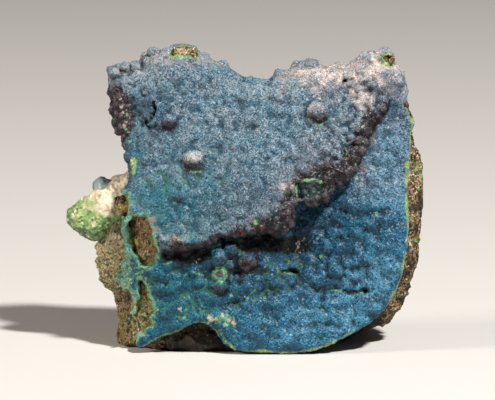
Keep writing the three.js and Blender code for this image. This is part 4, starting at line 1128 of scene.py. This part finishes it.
# The numbers that the material reads at each point, of the crust and of its crystals.
tint_of = dict(
    seam=seam, deep_seam=deep_seam, streak=streak, coat_and_shade=coat_and_shade, dust_and_light=dust_and_light, lower=lower, teal=teal,
    underside_shade=underside_shade, crease_shading=crowded, painted_shadow=painted_shadow, lining=lining, cream=cream, grey=grey, rust=rust,
    navy_and_shadow=navy_and_shadow, bright_and_lit=bright_and_lit, aqua=aqua, mauve=mauve, bowl_shade=ramp(3, 2, bowl_far), gap_shade=gap_shade,
    sparkle=sparkle * (1 - 0.6 * gap_shade), hollow_shade=hollow_shade,
)

# The seam and the walls of the windows are smoother than the skin.
loose = (under_skin < 0.3)[:, None]
crust_points = crust_points + chance.normal(0, STRAY, crust_points.shape) * (1 + loose)
blue_crust = piece(
    "blue_crust", crust_points, triangles(crust_faces), crust_normals,
    tone=chance.random(len(crust_points)) * 0.6, **tint_of,
)

# Cornetite: glassy deep blue crystals, a third of a millimetre across and tilted every way. Besides
# their blue, their faces are painted at random pale or rose, as painted glints, or black, as painted
# shade.
cornetite, tree, shader = material("cornetite_druse", 0.35, 1.78)
shader.inputs["Specular IOR Level"].default_value = 0.14
facet, spare = grains(tree, 4.0)  # crystal faces of 0.25 mm
# The tone is half the whole crystal's and half its faces'.
tone = node(tree, "ShaderNodeMix", i0=0.5, i2=reading(tree, "tone"), i3=facet).outputs[0]
# A face of a crystal is blue, painted pale or rose as a glint, or painted black as shade, as its
# tone says. Below the ledge each is a purer blue, and it is greyish on the bank and cream in the
# dust.
fresh = layers(tree, "a3b8c2", ("66a8c6", "lower"), ("2e93a8", "teal", 0.8))
pale = layers(
    tree, fresh,
    ("a9b3c0", "mauve", 0.7), ("2f6f92", "navy_and_shadow", 0.75), ("978b92", "coat_and_shade"), ("fbf0ea", "dust_and_light"),
)
rose = layers(
    tree, "a09798",
    ("52849b", "lower"), ("1f7383", "teal", 0.8), ("a3969c", "mauve", 0.7), ("2f5570", "navy_and_shadow", 0.75),
    ("75686f", "coat_and_shade"),
)
black = layers(
    tree, "1b3f54", ("0d3044", "lower"), ("071828", "navy_and_shadow", 0.9), ("0b090d", "coat_and_shade"), ("827876", "dust_and_light"),
)
# Undersides get painted violet shade, the bank is violet brown, the seam green, its layers banded
# and its rims mixed.
shade_violet = layers(tree, "3a3442", ("17364b", "lower"), ("0e0b11", "coat_and_shade"))
brown = layers(tree, "151119", ("2d2731", (pattern(tree, "Noise", 0.5), 0.4, 0.6)))
green = layers(
    tree, "4f9a78",
    ("8fc48a", (pattern(tree, "Noise", 1.2), 0.4, 0.6)),
    ("bfd8a0", (pattern(tree, "Noise", 0.8), 0.55, 0.65)),
)
banded = layers(tree, "2f7f78", ("a4c69c", (pattern(tree, "Noise", 2.2, Detail=3.0), 0.42, 0.6)))
rim = layers(
    tree, "6c9f78",
    ("98aa66", (pattern(tree, "Noise", 0.6), 0.4, 0.6)),
    ("74ac8c", "aqua"), ("5f6230", "deep_seam"),
    ("3c4a24", (spare, 0.3, 0.2, 0.6)), ("c8cf98", (spare, 0.8, 0.86, 0.5)),
)
# The coats go on from the blue of each region, over the tones of its crystals and the painted
# shade of its hollows and creases, to the green seam, the chips and the painted shadow under the ledge.
blue = layers(
    tree, "40748d",
    ("106388", "lower"), ("0f5a6c", "teal"), ("6d6a74", "mauve", 0.5),
    # The navy and bright patches carry painted shadow and painted light as well as the blue's own
    # shades.
    (fresh, "bright_and_lit", 0.6), ("143550", "navy_and_shadow", 0.85),
    ("7c8c94", (pattern(tree, "Noise", 0.12), 0.4, 0.62, 0.35), ("lower", 1.0, 0.0)),
    (brown, "coat_and_shade"), ("d8cac2", "dust_and_light"),
    (black, (tone, 0.42, 0.2, 0.95)),
    (rose, (tone, 0.5, 0.54), (tone, 0.66, 0.62), 0.6),
    (pale, (tone, 0.58, 0.8, 0.95)),
    # Painted violet shade on undersides.
    (shade_violet, "underside_shade", 0.8),
    # Painted shade in the broad hollows.
    (black, ("hollow_shade", 0.005, 0.075, 0.6)),
    # Painted shade between the bank's lobes.
    ("0c0b11", "gap_shade", 0.88),
    # Painted glints: pale rose-white flecks on the crystals of highest tone.
    ("e0cdc4", (tone, 0.88, 0.9, 0.7), "sparkle"),
    # Painted shade in the round hollow of the bank.
    ("1a3138", "bowl_shade", 0.5),
    # Painted shade in creases, and painted light on lumps.
    (black, ("crease_shading", 0.02, 0.14, 0.85)),
    (pale, ("crease_shading", -0.04, -0.18, 0.2)),
    ("58a274", "lining", 0.45),
    (green, ("streak", 0.1, 0.9, 0.65)),
    (banded, "aqua", 0.7), (rim, "seam"),
    ("c4b8a0", "cream"), ("8f877b", "grey", 0.8), ("63421f", "rust", 0.8),
    # Painted shadow under the ledge, almost black.
    ("030406", "painted_shadow", 0.96),
)
tree.links.new(shader.inputs["Base Color"], blue)
blue_crust.data.materials.append(cornetite)
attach(blue_crust, "root")
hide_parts("cornetite_crust")

# ---- crystals of the crust ---------------------------------------------------------------------
# The crust's skin is a druse of cornetite crystals, each a short four-sided point that stands
# roughly square to the skin. They are modelled at about their real size, in four pieces.
CRYSTAL = 0.145  # half the width of a crystal
CRYSTAL_HEIGHT = 0.2
CRYSTAL_FOOT = 0.08  # how deep a crystal stands in the skin
CRYSTAL_PIECES = 4


def crystals(name, rings):
    """One crystal near the middle of each of the crust's four-sided faces in rings."""
    share = chance.dirichlet((1.5, 1.5, 1.5, 1.5), len(rings))[..., None]
    foot = (crust_points[rings] * share).sum(1)
    normal = crust_normals[rings].mean(1)
    axis = unit(normal + chance.normal(0, 0.3, normal.shape))
    one = unit(np.cross(axis, chance.normal(0, 1, axis.shape)))
    two = np.cross(axis, one) * 0.75
    size = chance.uniform(0.75, 1.35, len(rings))[:, None]
    tall = CRYSTAL_HEIGHT * size * chance.uniform(0.7, 1.3, size.shape)
    wide = CRYSTAL * size
    foot = foot - CRYSTAL_FOOT * axis
    corners = [foot + side * wide for side in (one, two, -one, -two)]
    tip = foot + axis * tall + one * wide * 0.3
    points = np.stack([*corners, tip], 1).reshape(-1, 3)
    first = np.arange(len(rings))[:, None] * 5
    faces = np.concatenate([first + f for f in ((0, 1, 4), (1, 2, 4), (2, 3, 4), (3, 0, 4))])
    numbers = {key: np.repeat(values[rings[:, 0]], 5) for key, values in tint_of.items()}
    numbers["tone"] = np.repeat(chance.random(len(rings)), 5)
    ob = piece(name, points, faces, np.repeat(normal, 5, 0), **numbers)
    ob.data.materials.append(cornetite)
    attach(ob, "root")
    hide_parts("cornetite_crust")


# Faces turned to the front carry two crystals, and the others one.
above_floor = height(*crust_points.T[1:]) > ORIGIN[2] + 0.5
on_skin = crust_faces[((under_skin < 0.25) & (seam < 0.5) & above_floor)[crust_faces].all(1)]
front = crust_normals[on_skin[:, 0]][:, 2] > 0.25
every = np.concatenate([on_skin, on_skin[front]])
every = every[np.argsort(crust_points[every[:, 0]][:, 1], kind="stable")]
for number, part in enumerate(np.array_split(every, CRYSTAL_PIECES)):
    crystals(f"blue_crystals_{number + 1}", part)

# ---- malachite knob ----------------------------------------------------------------------------
# A blunt knob of green malachite that sticks out of the rock at the left, with a pale weathered
# top and a round blue-grey lump of cornetite on it.
KNOB_EDGE = [
    (-37.9, 45), (-35.4, 46.8), (-33.5, 48.1), (-31, 49.2), (-29, 50.4), (-27, 49),
    (-27, 40), (-30.6, 38.4), (-34.9, 34.6), (-37.4, 32.2), (-39, 32.2), (-41.3, 33.6),
    (-43.8, 34.8), (-46.1, 37.5), (-45.5, 39.9), (-42.4, 42.2),
]
KNOB_CELL = 0.3  # the step of its grid
KNOB_DEPTH = -19  # where the knob's middle lies
KNOB_CAP = (-36.4, 45.7, -18, 2.7)  # the round lump: u, v, w, radius


def cap_distance(u, v, w):
    """Distance to the round lump, negative inside it."""
    x, y, z, r = KNOB_CAP
    return np.sqrt((u - x) ** 2 + (v - y) ** 2 + (w - z) ** 2) - r


def knob_field(u, v, w):
    """The knob, negative inside it. The slot window cuts its inner side, where the rock shows."""
    rough = 0.5 * grain(u / 3 + 5, v / 3, w / 3) + 0.3 * grain(u / 1.6, v / 1.6, w / 1.6)
    rough = rough + 0.32 * grain(u / 0.8, v / 0.8, w / 0.8)
    thick = np.abs(w - KNOB_DEPTH) - (5 + 0.25 * np.clip(u + 45, 0, 14))
    body = meet(outline_distance(KNOB_EDGE, u, v), thick, 5) + rough + 0.1
    body = join(body, cap_distance(u, v, w) + 0.6 * rough, 0.8)
    return meet(body, -outline_distance(WINDOWS["slot"], u, v) - 0.8, 0.4)


knob_axes = [spaced(*ends, KNOB_CELL) for ends in ((-48, -24), (29, 52), (-31, -7))]
knob_points, knob_faces = skin(knob_field(*np.ix_(*knob_axes)), knob_axes)
buried = np.minimum(rock_field(*knob_points.T), sample(crust, knob_points)) < -BURIED
knob_points, knob_faces = without(knob_points, knob_faces, buried)
knob_normals = slope(knob_field, knob_points)
u, v, w = knob_points.T
up = height(*knob_normals.T[1:])
blotch = grain(u / 2.2, v / 2.2, w / 2.2)
cream = ramp(-0.15, 0.5, up + 0.5 * blotch) * ramp(-43, -38, u)
cream = np.maximum(cream, ramp(-41, -37, u + 2 * blotch) * ramp(37.6, 40, v + 2 * blotch))
inner = ramp(-39, -36, u)
green_knob = piece(
    "green_knob", knob_points + chance.normal(0, STRAY, knob_points.shape),
    triangles(knob_faces), knob_normals,
    cream=cream, bleached=cream * inner, cap=ramp(0.9, 0.2, cap_distance(u, v, w)),
    up=np.maximum(up, inner - 1), pit=pit_share(knob_field, knob_points, knob_normals, 0.6),
)

# Malachite: a silky green copper carbonate, bright where it is fresh and cream where weathered.
malachite, tree, shader = material("malachite_weathered", 0.5, 1.8)
one, two = grains(tree, 1.8)  # grains of 0.55 mm
colour = layers(
    tree, "5f9148",
    ("9db26a", (pattern(tree, "Noise", 0.4), 0.4, 0.6)),
    ("3c6a38", (one, 0.25, 0.2)),
    # Painted shade: faces of the knob that turn down are a darker green, except on its inner side.
    ("234018", ("up", -0.15, -0.8, 0.8)),
    ("cfc9a0", "cream"),
    # Painted light: the cream on the knob's inner side is lifted almost to white.
    ("f2e8d2", "bleached", 0.7),
    ("b08e70", (pattern(tree, "Noise", 0.7), 0.5, 0.62, 0.7), "cream"),
    ("efe9d0", (two, 0.93, 0.96, 0.6)),
    ("76878a", "cap"),
    # Painted shade in the knob's pits.
    ("10180a", ("pit", 0.5, 0.95, 0.85)),
)
fibres = pattern(tree, "Noise", 3.0, Detail=3.0)
bump = node(tree, "ShaderNodeBump", Strength=0.4, Distance=0.00015, Height=fibres)
tree.links.new(shader.inputs["Base Color"], colour)
tree.links.new(shader.inputs["Normal"], bump.outputs[0])
green_knob.data.materials.append(malachite)
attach(green_knob, "root")
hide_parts("malachite_knob")
